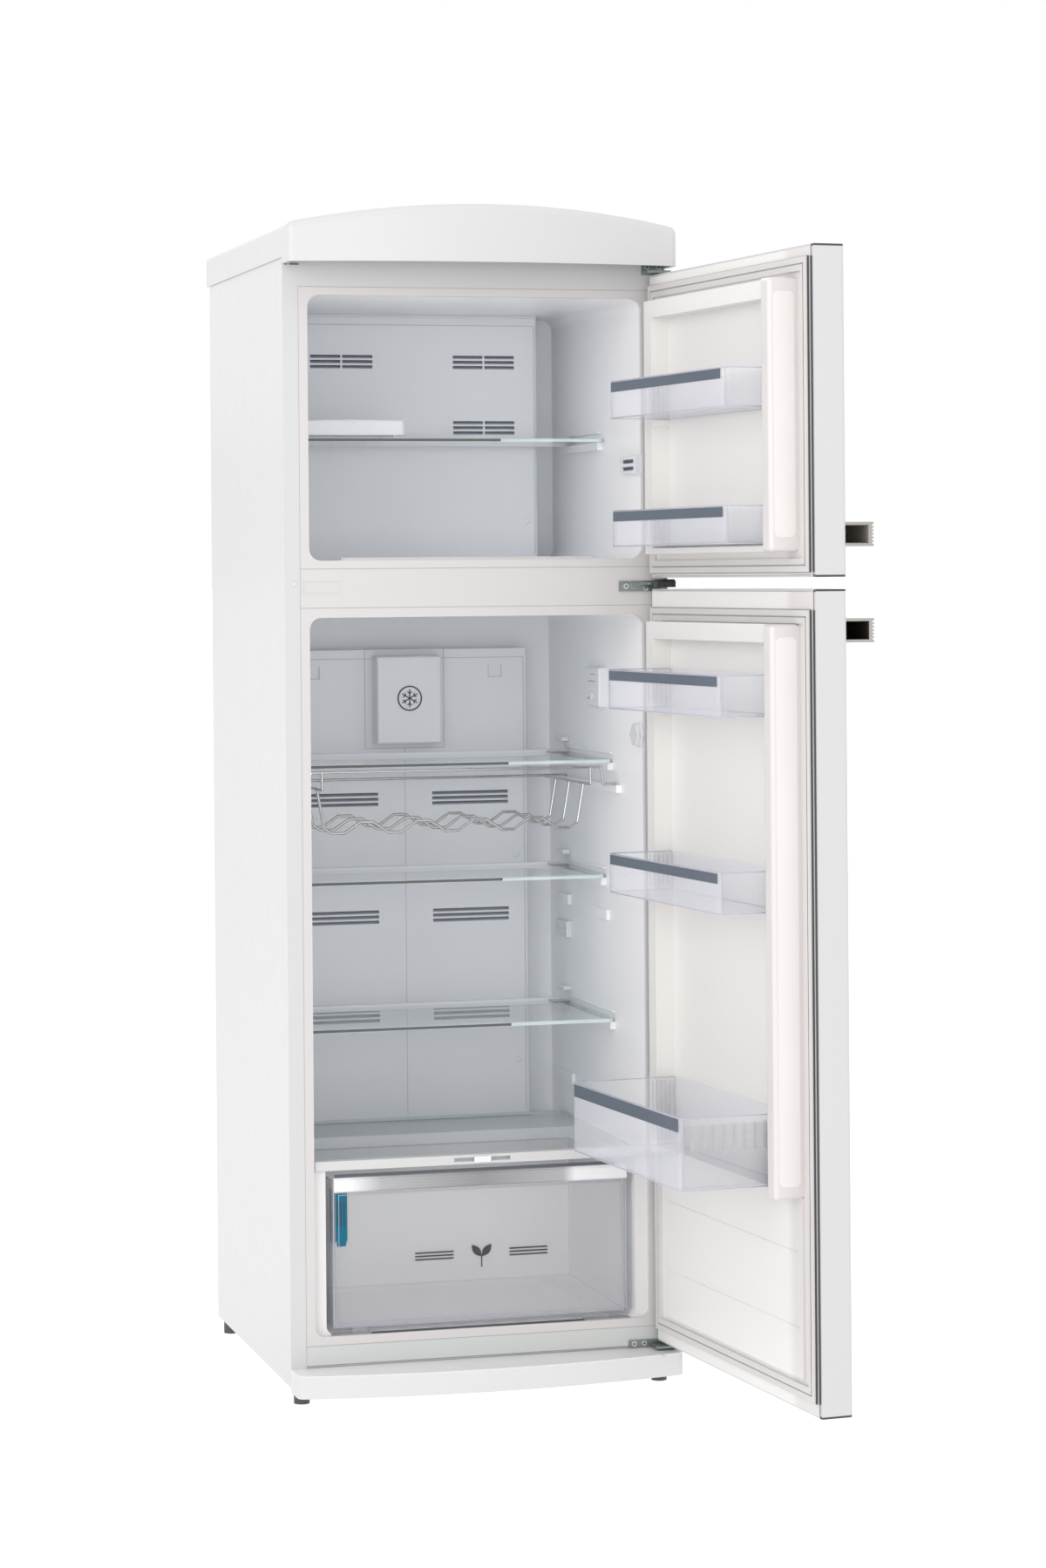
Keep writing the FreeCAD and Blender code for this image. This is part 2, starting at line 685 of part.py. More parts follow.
def make_compressor():
    """Hermetic compressor on a foot plate, with four rubber mounts."""
    place = Vector(-90, 175, 0)
    shell = rod("compressor_can", "Z", (place.x, place.y, 75), 74, 80)
    domes = []
    for index, height in enumerate((75, 155)):
        dome = doc.addObject("Part::Ellipsoid", f"compressor_dome_{index}")
        dome.Radius1, dome.Radius2, dome.Radius3 = 30, 74, 74
        dome.Placement.Base = Vector(place.x, place.y, height)
        domes.append(dome)
    plate = block("compressor_plate", (-190, 10), (120, 230), (42, 46))
    box = block("compressor_terminals", (-18, 12), (150, 200), (95, 140))
    stub = rod("compressor_stub", "Z", (-60, 175, 180), 5, 40)
    mounts = [
        rod(f"rubber_mount_{column}_{row}", "Z", (-175 + 170 * column, 132 + 86 * row, 30), 9, 12)
        for column in range(2) for row in range(2)
    ]
    finish(fuse("compressor_shape", [shell, plate, box, stub] + domes + mounts), "compressor")


def make_cord_gland():
    """Strain relief for the mains lead in the machine cover's upright wall."""
    flange = rod("gland_flange", "Y", (200, 58, 240), 12, 3)
    snout = rod("gland_snout", "Y", (200, 60, 240), 7, 16)
    bore = rod("gland_bore", "Y", (200, 60, 240), 3.6, 17)
    finish(cut("cord_gland_shape", fuse("cord_gland_solid", [flange, snout]), [bore]), "cord_gland")


# ---- fittings inside ----

RIGHT_WALL = d.cavity_half_width
BUTTON = (-46, 1048)


def make_control_panel():
    """Temperature control box on the right-hand wall, with its push button."""
    body = new_body("control_panel_body")
    pad(body, "YZ", [rectangle(-85, -7, 1031, 1093)], RIGHT_WALL - 12, RIGHT_WALL)
    soften(body, 3, lambda edge: edge.BoundBox.XMax < (RIGHT_WALL - 1).value)
    bore = rod("button_well", "X", (RIGHT_WALL - 13, *BUTTON), 7.4, 9)
    finish(cut("control_panel_shape", body, [bore]), "control_panel")
    cap = rod("button_cap", "X", (RIGHT_WALL - 14.5, *BUTTON), 7, 7)
    finish(round_edges("control_button_shape", cap, as_size(1), lambda edge: edge.BoundBox.XMax < 248),
           "control_button")


def make_lamp_lens():
    """Hexagonal lamp lens near the front of the right-hand wall."""
    body = new_body("lamp_lens_body")
    middle_y, middle_z, half_width, half_height = -268, 994, 22, 18.7
    angles = [math.radians(60 * k) for k in range(6)]
    corners = [(middle_y + half_width * math.cos(a), middle_z + half_height * math.sin(a)) for a in angles]
    pad(body, "YZ", [corners], RIGHT_WALL - 10, RIGHT_WALL)
    soften(body, 2.5, lambda edge: edge.BoundBox.XMax < (RIGHT_WALL - 9).value)
    finish(body, "lamp_lens")


def make_sensor_covers():
    """Slotted sensor boxes on the right-hand walls of both compartments."""
    freezer = block("freezer_sensor_box", (RIGHT_WALL - 10, RIGHT_WALL), (-289, -206), (1397, 1425))
    depth = (RIGHT_WALL - 11, RIGHT_WALL - 3)
    slots = [
        block(f"freezer_sensor_slot_{low}", depth, (-278, -217), (low, low + 6)) for low in (1402, 1413)
    ]
    fridge = block("fridge_sensor_box", (RIGHT_WALL - 8, RIGHT_WALL), (128, 190), (646, 672))
    holes = [
        rod(f"fridge_sensor_hole_{k}", "X", (RIGHT_WALL - 9, 138 + 14 * k, 659), 3.2, 6) for k in range(4)
    ]
    boxes = fuse("sensor_boxes", [freezer, fridge])
    finish(cut("sensor_covers_shape", boxes, slots + holes), "sensor_covers")


def make_shelf(name, top, front, back):
    """A toughened glass shelf with rounded front corners."""
    body = new_body(f"{name}_body")
    half = d.shelf_half_width
    pad(body, "XY", [rectangle(-half, half, front, back)], top - d.shelf_glass, as_size(top))
    soften(body, 10, along("Z", lambda p: near(p.y, front)))
    finish(body, name)


def make_shelves():
    """One freezer shelf and three fresh food shelves."""
    make_shelf("freezer_shelf", FREEZER_SHELF_TOP, -96, 110)
    for name, top, front in FRIDGE_SHELVES:
        make_shelf(name, top, front, d.shelf_back)


RACK_RAIL, RACK_FRONT, RACK_BACK = 215, -155, 130
WAVE_MIDDLE, WAVE_SWING, WAVE_HALF, WAVE_COUNT = 851.7, 8.5, 45.4, 9


def wire_along(points, radius):
    """A round wire through a chain of points, with a ball at each corner."""
    solids = []
    for first, last in zip(points, points[1:]):
        way = last - first
        solids.append(Part.makeCylinder(radius, way.Length, first, way))
    solids += [Part.makeSphere(radius, point) for point in points]
    return solids[0].multiFuse(solids[1:])


def wave_wire(y, radius):
    """One bottle cradle wire: flat troughs and crests in turn between two uprights."""
    reach = WAVE_HALF * WAVE_COUNT / 2
    path = [Vector(-RACK_RAIL, y, RACK_RAIL_HEIGHT), Vector(-reach, y, WAVE_MIDDLE)]
    for index in range(WAVE_COUNT):
        left = index * WAVE_HALF - reach
        level = WAVE_MIDDLE + (WAVE_SWING if index % 2 else -WAVE_SWING)
        path += [Vector(left + share * WAVE_HALF, y, level) for share in (0.28, 0.72)]
    path += [Vector(reach, y, WAVE_MIDDLE), Vector(RACK_RAIL, y, RACK_RAIL_HEIGHT)]
    return wire_along(path, radius)


def make_wine_rack():
    """Wire rack that hangs below the top shelf: a frame and three wavy bottle cradles."""
    radius = d.wire_radius.value
    level, raised, reach = RACK_RAIL_HEIGHT, 940, 256
    bends = ((-reach, level), (-236, level), (-232, raised), (232, raised), (236, level), (reach, level))
    front = [Vector(x, RACK_FRONT, z) for x, z in bends]
    back = [Vector(-reach, RACK_BACK, level), Vector(reach, RACK_BACK, level)]
    frame = [wire_along(front, radius), wire_along(back, radius)]
    for side in (-RACK_RAIL, RACK_RAIL):
        turns = ((RACK_FRONT, raised), (RACK_FRONT, level), (RACK_BACK, level))
        frame.append(wire_along([Vector(side, y, z) for y, z in turns], radius))
    waves = [wave_wire(y, radius) for y in (-116, -36, 44)]
    rack = doc.addObject("Part::Feature", "wine_rack_shape")
    rack.Shape = frame[0].multiFuse(frame[1:] + waves)
    finish(rack, "wine_rack")


def make_ice_tray():
    """Twin ice tray with two rows of cells in each half, on four low feet."""
    body = new_body("ice_tray_body")
    left, right, front, back = -232, -62, -88, 20
    low, high = FREEZER_SHELF_TOP + 5, FREEZER_SHELF_TOP + 28
    pad(body, "XY", [rectangle(left, right, front, back)], low, high)
    soften(body, 8, along("Z"))
    cells = []
    for column in range(4):
        start = left + 5 + column * 41 + (2 if column > 1 else 0)
        for row in range(4):
            base = front + 5 + row * 25
            cells.append(rectangle(start, start + 36, base, base + 21))
    pocket(body, "XY", cells, low + 2, high)
    for x in (left + 10, right - 18):
        for y in (front + 10, back - 18):
            pad(body, "XY", [rectangle(x, x + 8, y, y + 8)], FREEZER_SHELF_TOP + 0.3, low + 1)
    finish(body, "ice_tray")


# ---- crisper ----

def make_crisper_cover():
    """Glass cover over the crisper, its front trim and the humidity slider."""
    glass = block("cover_glass", (-258, 258), (-273, 186), (349.5, 354.5))
    finish(glass, "crisper_cover")
    trim = new_body("crisper_trim_body")
    pad(trim, "XZ", [rectangle(-260, 260, 348, 362)], -290, -273.3)
    pocket(trim, "XZ", [rectangle(-257, 257, 346, 359)], -287, -272)
    pocket(trim, "XZ", [rectangle(-44, 44, 352, 358)], -291, -286)
    finish(trim, "crisper_trim")
    knob = block("slider_knob", (-13, 13), (-292.5, -290.4), (350.5, 359.5))
    neck = block("slider_neck", (-11, 11), (-290.4, -286.2), (352.4, 357.6))
    finish(fuse("humidity_slider_shape", [knob, neck]), "humidity_slider")


def make_crisper_drawer():
    """Clear drawer open at the top, its front strip and the cartridge inside."""
    body = new_body("crisper_drawer_body")
    pad(body, "XY", [rectangle(-231, 231, -280, 40)], 107, 330)
    soften(body, 8, along("Z"))
    soften(body, 5, lambda edge: edge.BoundBox.ZMax < 107.01)
    pocket(body, "XY", [rectangle(-228, 228, -276.5, 37)], 110, 331)
    soften(body, 5, along("Z", lambda p: near(abs(p.x), 228)))
    finish(body, "crisper_drawer")
    strip = new_body("drawer_strip_body")
    profile = [
        (-280.1, 313.5), (-280.1, 335.5), (-283, 335.5), (-285.5, 331), (-285.5, 316), (-283, 313.5),
    ]
    pad(strip, "YZ", [profile], -230, 230)
    finish(strip, "drawer_strip")
    cartridge = block("cartridge_case", (-227.5, -205), (-268, -238), (234, 314))
    finish(round_edges("cartridge_shape", cartridge, as_size(4), along("Z")), "freshness_cartridge")


# ---- feet ----

def make_feet():
    """Two levelling feet in front with their brackets, and two fixed feet at the back."""
    brackets = []
    for side, name in ((-1, "foot_left"), (1, "foot_right")):
        x = d.foot_across * side
        disc = rod(f"{name}_disc", "Z", (x, -d.foot_spacing, 0), d.foot_radius, 12)
        stem = rod(f"{name}_stem", "Z", (x, -d.foot_spacing, 12), 4, 28)
        finish(fuse(f"{name}_shape", [disc, stem]), name)
        case = block(f"{name}_case", (x - 12, x + 12), (-292, -268), (12.4, 27.9))
        hole = rod(f"{name}_socket", "Z", (x, -d.foot_spacing, 12), 4.06, 17)
        brackets.append(cut(f"{name}_bracket", case, [hole]))
    rear = [
        rod(f"rear_foot_{index}", "Z", (d.foot_across * side, d.foot_spacing, 0), d.foot_radius, 28)
        for index, side in enumerate((-1, 1))
    ]
    finish(fuse("foot_blocks_shape", brackets + rear), "foot_blocks")


# ---- doors ----

def swing(item):
    """Turn a piece that was drawn closed to the open position, about the hinge pins."""
    angle = d.door_angle
    turn = Size(f"cos({angle.formula} * 1deg)", math.cos(math.radians(angle.value)))
    lift = Size(f"sin({angle.formula} * 1deg)", math.sin(math.radians(angle.value)))
    across, depth = HINGE
    item.Placement.Rotation = Rotation(Vector(0, 0, 1), angle.value)
    bind(item, "Placement.Rotation.Angle", angle)
    bind(item, "Placement.Base.x", across - across * turn + depth * lift)
    bind(item, "Placement.Base.y", depth - across * lift - depth * turn)
    return item


def door_outline(inset, back):
    """The door's plan outline, moved inwards by the inset."""
    return bowed_outline(d.half_width - inset, d.door_edge_front + inset, d.door_bow, back)


def front_corners(inset):
    """Accept the upright edges at the door's two front corners."""
    place = (d.door_edge_front + inset).value
    return along("Z", lambda p: near(p.y, place))


def make_door_skin(name, low, high):
    """Painted sheet over the front and sides, turned in at the back."""
    body = new_body(f"{name}_skin_body")
    sheet = d.sheet
    bottom, top = low + d.cap_thickness, high - d.cap_thickness
    pad(body, "XY", [door_outline(0, d.door_back)], bottom, top)
    pocket(body, "XY", [door_outline(sheet, d.door_back - sheet)], bottom, top)
    soften(body, d.door_corner - sheet, front_corners(sheet))
    soften(body, d.door_corner, front_corners(0))
    pocket(body, "XY", [rectangle(-281, 281, d.door_back - sheet - 1, d.door_back + 1)], bottom, top)
    finish(swing(body), f"{name}_skin")


def make_door_foam(name, low, high):
    """Insulation inside the door, clear of the hinge bushings."""
    body = new_body(f"{name}_foam_body")
    outline = [
        (-296, d.door_edge_front + 4, d.door_bow - 3), (272, d.door_edge_front + 1.4),
        (272, d.door_back - 2), (-296, d.door_back - 2),
    ]
    pad(body, "XY", [outline], low + 3.5, high - 3.5)
    finish(swing(body), f"{name}_foam")


def make_end_caps(name, low, high):
    """Thin caps over the door's ends, each with a bushing for the hinge pin."""
    caps = []
    wall = d.bushing_radius + d.bushing_wall
    lower = ("lower", low, low + d.cap_thickness, low - 1)
    upper = ("upper", high - d.cap_thickness, high - 19, high - 16)
    for end, place, boss, bore in (lower, upper):
        cap = new_body(f"{name}_{end}_cap")
        pad(cap, "XY", [door_outline(0, d.door_back)], place, place + d.cap_thickness)
        soften(cap, d.door_corner, front_corners(0))
        bushing = rod(f"{name}_{end}_bushing", "Z", (*HINGE, boss), wall, 16)
        hole = rod(f"{name}_{end}_bore", "Z", (*HINGE, bore), d.bushing_radius, 17)
        caps.append(cut(f"{name}_{end}_end", fuse(f"{name}_{end}_solid", [cap, bushing]), [hole]))
    finish(swing(fuse(f"{name}_end_caps_shape", caps)), f"{name}_end_caps")


DYKE_WALL = 2.5


def make_door_liner(name, low, high, dykes, ledges):
    """Moulded inner panel with raised dykes that the balconies hang between."""
    body = new_body(f"{name}_liner_body")
    back, plate_top, crest, free_crest = -302, -300.3, -272, -256
    bottom, top, low_bar = dykes
    pad(body, "XZ", [rectangle(-294, 294, low + 3.3, high - 3.3)], back, plate_top)
    frame = [rectangle(-252, 250, bottom, top), rectangle(-222, 222, bottom + low_bar, top - 26)]
    pad(body, "XZ", frame, plate_top - 0.5, crest)
    pad(body, "XZ", [rectangle(-252, -222, bottom, top)], crest - 1, free_crest)
    soften(body, 6, lambda edge: is_dyke_edge(edge, bottom, top))
    wall = DYKE_WALL
    hollow = [
        rectangle(wall - 252, 250 - wall, bottom + wall, top - wall),
        rectangle(-222 - wall, 222 + wall, bottom + low_bar - wall, top - 26 + wall),
    ]
    pocket(body, "XZ", hollow, back - 1, crest - wall)
    free_hollow = rectangle(wall - 252, -222 - wall, bottom + wall, top - wall)
    pocket(body, "XZ", [free_hollow], -280, free_crest - wall)
    for height in ledges:
        for x in mirrored(218, 222.5):
            ledge = rectangle(x[0], x[1], height - 10, height - d.ledge_gap)
            pad(body, "XZ", [ledge], -300.6, crest - 2)
    if bottom - low.value > 100:
        pad(body, "XZ", [rectangle(-252, 250, low + 46, bottom + 1)], plate_top - 0.5, -297)
        for height in (180, 285):
            pad(body, "XZ", [rectangle(-240, 238, height, height + 4)], -297.5, -296)
    finish(swing(body), f"{name}_liner")


def is_dyke_edge(edge, dyke_low, dyke_high):
    """Is this one of the outer edges around the free-end dyke's crest, or its upright corners?"""
    box = edge.BoundBox
    crest = near(box.YMin, -256) and near(box.YMax, -256)
    corner = near(box.XLength, 0) and near(box.ZLength, 0) and near(box.XMin, -252) and box.YMin > -301
    return crest or (corner and (near(box.ZMin, dyke_low) or near(box.ZMin, dyke_high)))


def make_gasket(name, bottom, top):
    """Magnetic seal around the door's inner panel, with one groove along its face."""
    body = new_body(f"{name}_gasket_body")
    width = 19
    ring = [
        rectangle(-291, 291, bottom, top),
        rectangle(width - 291, 291 - width, bottom + width, top - width),
    ]
    pad(body, "XZ", ring, -300.3, -295.3)
    groove = [
        rectangle(-282.5, 282.5, bottom + 8.5, top - 8.5),
        rectangle(-280.5, 280.5, bottom + 10.5, top - 10.5),
    ]
    pocket(body, "XZ", groove, -297.3, -295.3)
    finish(swing(body), f"{name}_gasket")


def bow_radius():
    """The radius of the door's bowed front, with a hair's gap in front of it."""
    return (d.half_width * d.half_width) / (d.door_bow * 2) + d.door_bow / 2


def door_face(x):
    """How far forward the door's bowed face stands at a place across its width, plus a fine gap."""
    radius = bow_radius()
    crest = d.door_edge_front - d.door_bow - 0.1
    return crest + radius - root(radius * radius - as_size(x) * x)


def make_handle(name, middle):
    """Chrome pull with a ribbed front and a finger well that opens towards the door's free edge."""
    free, far, tip = -288, -120, -398
    low, high = middle - 17, middle + 17
    body = new_body(f"{name}_handle_body")
    pad(body, "XY", [[(free, tip, 5), (far, -388), (far, -350), (free, -350)]], low, high)
    groove = [(free - 1, tip + 2.4, 5), (far + 1, -385.6), (far + 1, tip - 8), (free - 1, tip - 8)]
    for rib in range(6):
        base = low + 3.4 + rib * 4.95
        pocket(body, "XY", [groove], base, base + 2.4)
    pocket(body, "XY", [rectangle(free - 1, -160, -390, -340)], low + 4, high - 4)
    relief = new_body(f"{name}_handle_relief")
    left, right = free - 3, far + 3
    curve = [(left, door_face(left), hug_for(left, right)), (right, door_face(right))]
    pad(relief, "XY", [curve + [(right, -320), (left, -320)]], low - 1, high + 1)
    finish(swing(cut(f"{name}_handle_shape", body, [relief])), f"{name}_handle")


def hug_for(left, right):
    """The sagitta of the door's bow between two places across its width."""
    radius = bow_radius()
    span = as_size(right) - left
    rise = door_face(right) - door_face(left)
    return radius - root(radius * radius - (span * span + rise * rise) / 4)


def make_balcony(name, half, front, low, high):
    """Clear open-topped bin that drops in between the door's dykes."""
    body = new_body(f"{name}_body")
    back = -298
    pad(body, "XY", [rectangle(-half, half, back, front)], low, high)
    pocket(body, "XY", [rectangle(2.5 - half, half - 2.5, back + 2.5, front - 2.5)], low + 3, high + 1)
    soften(body, 9, along("Z", lambda p: near(p.y, front - 2.5)))
    soften(body, 12, along("Z", lambda p: near(p.y, front)))
    finish(swing(body), name)


BALCONIES = (
    ("freezer_balcony_upper", 219, -201.5, 1475, 1531),
    ("freezer_balcony_lower", 219, -203.5, 1283, 1337),
    ("fridge_balcony_upper", 216, -193.5, 1040, 1099),
    ("fridge_balcony_middle", 215, -192.5, 764, 823),
    ("bottle_bin", 213, -131, 380, 482),
)


def make_bottle_holder():
    """Ribbed comb that stands in the bottle bin near its free end."""
    body = new_body("bottle_holder_body")
    pad(body, "XY", [rectangle(-204, -200, -293, -140)], 383.3, 470)
    for index in range(9):
        base = -286 + index * 16
        pad(body, "XY", [rectangle(-200.5, -188, base, base + 3)], 432, 470)
    finish(swing(body), "bottle_holder")


def make_doors():
    """Both doors with everything that rides on them."""
    ledges = {
        "freezer_door": [low for name, _, _, low, _ in BALCONIES if name.startswith("freezer")],
        "fridge_door": [low for name, _, _, low, _ in BALCONIES if not name.startswith("freezer")],
    }
    doors = (
        ("freezer_door", d.freezer_door_bottom, d.freezer_door_top, (1272, 1655, 8.5), (1243, 1682), 1295.5),
        ("fridge_door", d.fridge_door_bottom, d.fridge_door_top, (366, 1170, 12), (87, 1190), 1161),
    )
    for name, low, high, dykes, seal, handle in doors:
        make_door_skin(name, low, high)
        make_door_foam(name, low, high)
        make_end_caps(name, low, high)
        make_door_liner(name, low, high, dykes, ledges[name])
        make_gasket(name, *seal)
        make_handle(name, handle)
    for balcony in BALCONIES:
        make_balcony(*balcony)
    make_bottle_holder()


def check_and_write():
    """Stop on any failed object or broken shape, then write each piece to its own file."""
    doc.recompute()
    failed = [item.Name for item in doc.Objects if {"Invalid", "Error"} & set(item.State)]
    if failed:
        raise RuntimeError(f"failed objects: {failed}")
    for item in FINISHED:
        shape = item.Shape
        if shape.isNull() or not shape.isValid() or not shape.Solids:
            raise RuntimeError(f"{item.Label}: no valid solid")
    for item in FINISHED:
        item.Shape.exportStep(f"parts/{item.Label}.step")
        print(f"{item.Label}: {len(item.Shape.Solids)} solids, {item.Shape.Volume / 1000:.1f} cm3")
    print(f"{len(FINISHED)} pieces")


def main():
    """Build every piece and write the files."""
    make_outer_wrapper()
    make_rear_panel()
    make_base_pan()
    make_freezer_liner()
    make_fridge_liner()
    make_cabinet_foam()
    make_mullion_cover()
    make_bottom_rail()
    make_kick_plate()
    make_top_crown()
    make_hinges()
    make_front_screws()
    make_freezer_duct()
    make_fridge_duct()
    make_evaporator()
    make_fan()
    make_compressor()
    make_cord_gland()
    make_control_panel()
    make_lamp_lens()
    make_sensor_covers()
    make_shelves()
    make_wine_rack()
    make_ice_tray()
    make_crisper_cover()
    make_crisper_drawer()
    make_feet()
    make_doors()
    check_and_write()


main()
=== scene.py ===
"""Looks, lights and camera for the top freezer refrigerator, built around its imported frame."""

import json
import math

import bmesh
import bpy
from mathutils import Matrix, Vector


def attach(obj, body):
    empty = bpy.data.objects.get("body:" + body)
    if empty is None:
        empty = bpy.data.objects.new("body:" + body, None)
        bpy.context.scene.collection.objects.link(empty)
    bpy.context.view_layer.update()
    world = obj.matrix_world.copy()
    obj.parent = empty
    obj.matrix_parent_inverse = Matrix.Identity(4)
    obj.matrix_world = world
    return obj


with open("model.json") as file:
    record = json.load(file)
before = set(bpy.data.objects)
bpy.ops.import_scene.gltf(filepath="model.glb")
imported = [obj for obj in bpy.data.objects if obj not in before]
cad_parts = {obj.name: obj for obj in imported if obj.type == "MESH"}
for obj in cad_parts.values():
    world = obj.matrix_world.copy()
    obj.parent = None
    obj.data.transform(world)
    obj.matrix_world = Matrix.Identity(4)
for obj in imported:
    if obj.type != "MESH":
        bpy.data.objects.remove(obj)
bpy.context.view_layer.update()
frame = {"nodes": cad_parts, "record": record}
NODES = frame["nodes"]
MM = 0.001

# Places that several details share, in millimetres.
CABINET_FACE = -295
REAR_FACE = 295
WALL = 261.8
FREEZER_DUCT, FRIDGE_DUCT = 118, 195
DRAWER_PRINT = (-280.75, -280.15)
HINGE_ACROSS, HINGE_DEPTH = 288, -318
DOOR_ANGLE = 95


# ---- materials ----

MATERIALS = {}


def shader(name):
    """A new node material and its principled shader."""
    material = bpy.data.materials.new(name)
    material.use_nodes = True
    MATERIALS[name] = material
    return material, material.node_tree, material.node_tree.nodes["Principled BSDF"]


def add_node(tree, kind, **inputs):
    """A node of a kind with its plain inputs set."""
    node = tree.nodes.new(kind)
    for key, value in inputs.items():
        node.inputs[key.replace("_", " ")].default_value = value
    return node


def grain(tree, scale):
    """Noise in the object's own coordinates."""
    place = tree.nodes.new("ShaderNodeTexCoord")
    noise = add_node(tree, "ShaderNodeTexNoise", Scale=scale, Detail=3.0)
    tree.links.new(place.outputs["Object"], noise.inputs["Vector"])
    return noise.outputs["Fac"]


def spread(tree, source, low, high):
    """Map a 0 to 1 value to a range."""
    node = add_node(tree, "ShaderNodeMapRange", To_Min=low, To_Max=high)
    tree.links.new(source, node.inputs["Value"])
    return node.outputs["Result"]


def tint(tree, source, first, second):
    """Blend two colours by a value."""
    ramp = tree.nodes.new("ShaderNodeValToRGB")
    ramp.color_ramp.elements[0].position, ramp.color_ramp.elements[1].position = 0.3, 0.7
    ramp.color_ramp.elements[0].color = (*first, 1)
    ramp.color_ramp.elements[1].color = (*second, 1)
    tree.links.new(source, ramp.inputs["Fac"])
    return ramp.outputs["Color"]


def bump(tree, principled, height, strength, distance):
    """Tie a height to the shader's normal."""
    node = add_node(tree, "ShaderNodeBump", Strength=strength, Distance=distance)
    tree.links.new(height, node.inputs["Height"])
    tree.links.new(node.outputs["Normal"], principled.inputs["Normal"])


def coated(name, colour, roughness, texture, relief, shade=0.97, metallic=0.0, coat=0.0, specular=0.5):
    """A painted, moulded or plated surface with fine texture and slight unevenness."""
    material, tree, principled = shader(name)
    wide = grain(tree, 6.0)
    dark = tuple(channel * shade for channel in colour)
    tree.links.new(tint(tree, wide, dark, colour), principled.inputs["Base Color"])
    tree.links.new(
        spread(tree, grain(tree, 35.0), roughness * 0.85, roughness * 1.15), principled.inputs["Roughness"]
    )
    bump(tree, principled, grain(tree, texture), relief, 0.0004)
    principled.inputs["Metallic"].default_value = metallic
    principled.inputs["Coat Weight"].default_value = coat
    principled.inputs["Coat Roughness"].default_value = 0.08
    principled.inputs["Specular IOR Level"].default_value = specular
    return material


def painted_light_ramp(name, axis, start, end, stops):
    """A moulding or foil with painted light, shade or reflection: its colour drifts along one axis,
    between two places in metres.
    """
    material = coated(name, stops[-1][1], 0.34, 500.0, 0.01, coat=0.05)
    tree = material.node_tree
    place = tree.nodes.new("ShaderNodeTexCoord")
    axes = tree.nodes.new("ShaderNodeSeparateXYZ")
    along = add_node(tree, "ShaderNodeMapRange", From_Min=start, From_Max=end)
    node = tree.nodes.new("ShaderNodeValToRGB")
    ramp = node.color_ramp
    ramp.elements[0].position, ramp.elements[1].position = stops[0][0], stops[-1][0]
    ramp.elements[0].color, ramp.elements[1].color = (*stops[0][1], 1), (*stops[-1][1], 1)
    for position, colour in stops[1:-1]:
        ramp.elements.new(position).color = (*colour, 1)
    tree.links.new(place.outputs["Object"], axes.inputs["Vector"])
    tree.links.new(axes.outputs[axis], along.inputs["Value"])
    tree.links.new(along.outputs["Result"], node.inputs["Fac"])
    tree.links.new(node.outputs["Color"], tree.nodes["Principled BSDF"].inputs["Base Color"])
    return material


def brushed(name, colour, roughness):
    """Metal with fine lines along its length."""
    material, tree, principled = shader(name)
    place = tree.nodes.new("ShaderNodeTexCoord")
    stretch = tree.nodes.new("ShaderNodeMapping")
    stretch.inputs["Scale"].default_value = (8, 8, 900)
    lines = add_node(tree, "ShaderNodeTexNoise", Scale=3.0, Detail=4.0)
    tree.links.new(place.outputs["Object"], stretch.inputs["Vector"])
    tree.links.new(stretch.outputs["Vector"], lines.inputs["Vector"])
    dark = tuple(channel * 0.86 for channel in colour)
    tree.links.new(tint(tree, lines.outputs["Fac"], dark, colour), principled.inputs["Base Color"])
    tree.links.new(spread(tree, lines.outputs["Fac"], roughness * 0.8, roughness * 1.25),
                   principled.inputs["Roughness"])
    bump(tree, principled, lines.outputs["Fac"], 0.15, 0.0002)
    principled.inputs["Metallic"].default_value = 1.0
    return material


def clear(name, colour, rim_colour, facing_alpha, rim_alpha, roughness):
    """A clear moulding that grows denser and shinier towards its rims."""
    material, tree, principled = shader(name)
    weight = add_node(tree, "ShaderNodeLayerWeight", Blend=0.35)
    slant = weight.outputs["Facing"]
    tree.links.new(tint(tree, slant, colour, rim_colour), principled.inputs["Base Color"])
    tree.links.new(spread(tree, slant, facing_alpha, rim_alpha), principled.inputs["Alpha"])
    tree.links.new(spread(tree, grain(tree, 20.0), roughness * 0.7, roughness * 1.3),
                   principled.inputs["Roughness"])
    principled.inputs["Specular IOR Level"].default_value = 0.8
    principled.inputs["IOR"].default_value = 1.49
    return material


def end_cap(name, face_colour, shaded_side_colour):
    """Moulded end cap: pale, with painted shade as a dark band on the side that looks out of the door's
    free edge.
    """
    material, tree, principled = shader(name)
    place = tree.nodes.new("ShaderNodeTexCoord")
    axes = tree.nodes.new("ShaderNodeSeparateXYZ")
    side = add_node(tree, "ShaderNodeMapRange", From_Min=-1.0, From_Max=-0.4)
    tree.links.new(place.outputs["Normal"], axes.inputs["Vector"])
    tree.links.new(axes.outputs["Y"], side.inputs["Value"])
    blend = tint(tree, side.outputs["Result"], shaded_side_colour, face_colour)
    tree.links.new(blend, principled.inputs["Base Color"])
    tree.links.new(spread(tree, grain(tree, 40.0), 0.35, 0.5), principled.inputs["Roughness"])
    bump(tree, principled, grain(tree, 500.0), 0.02, 0.0004)
    return material


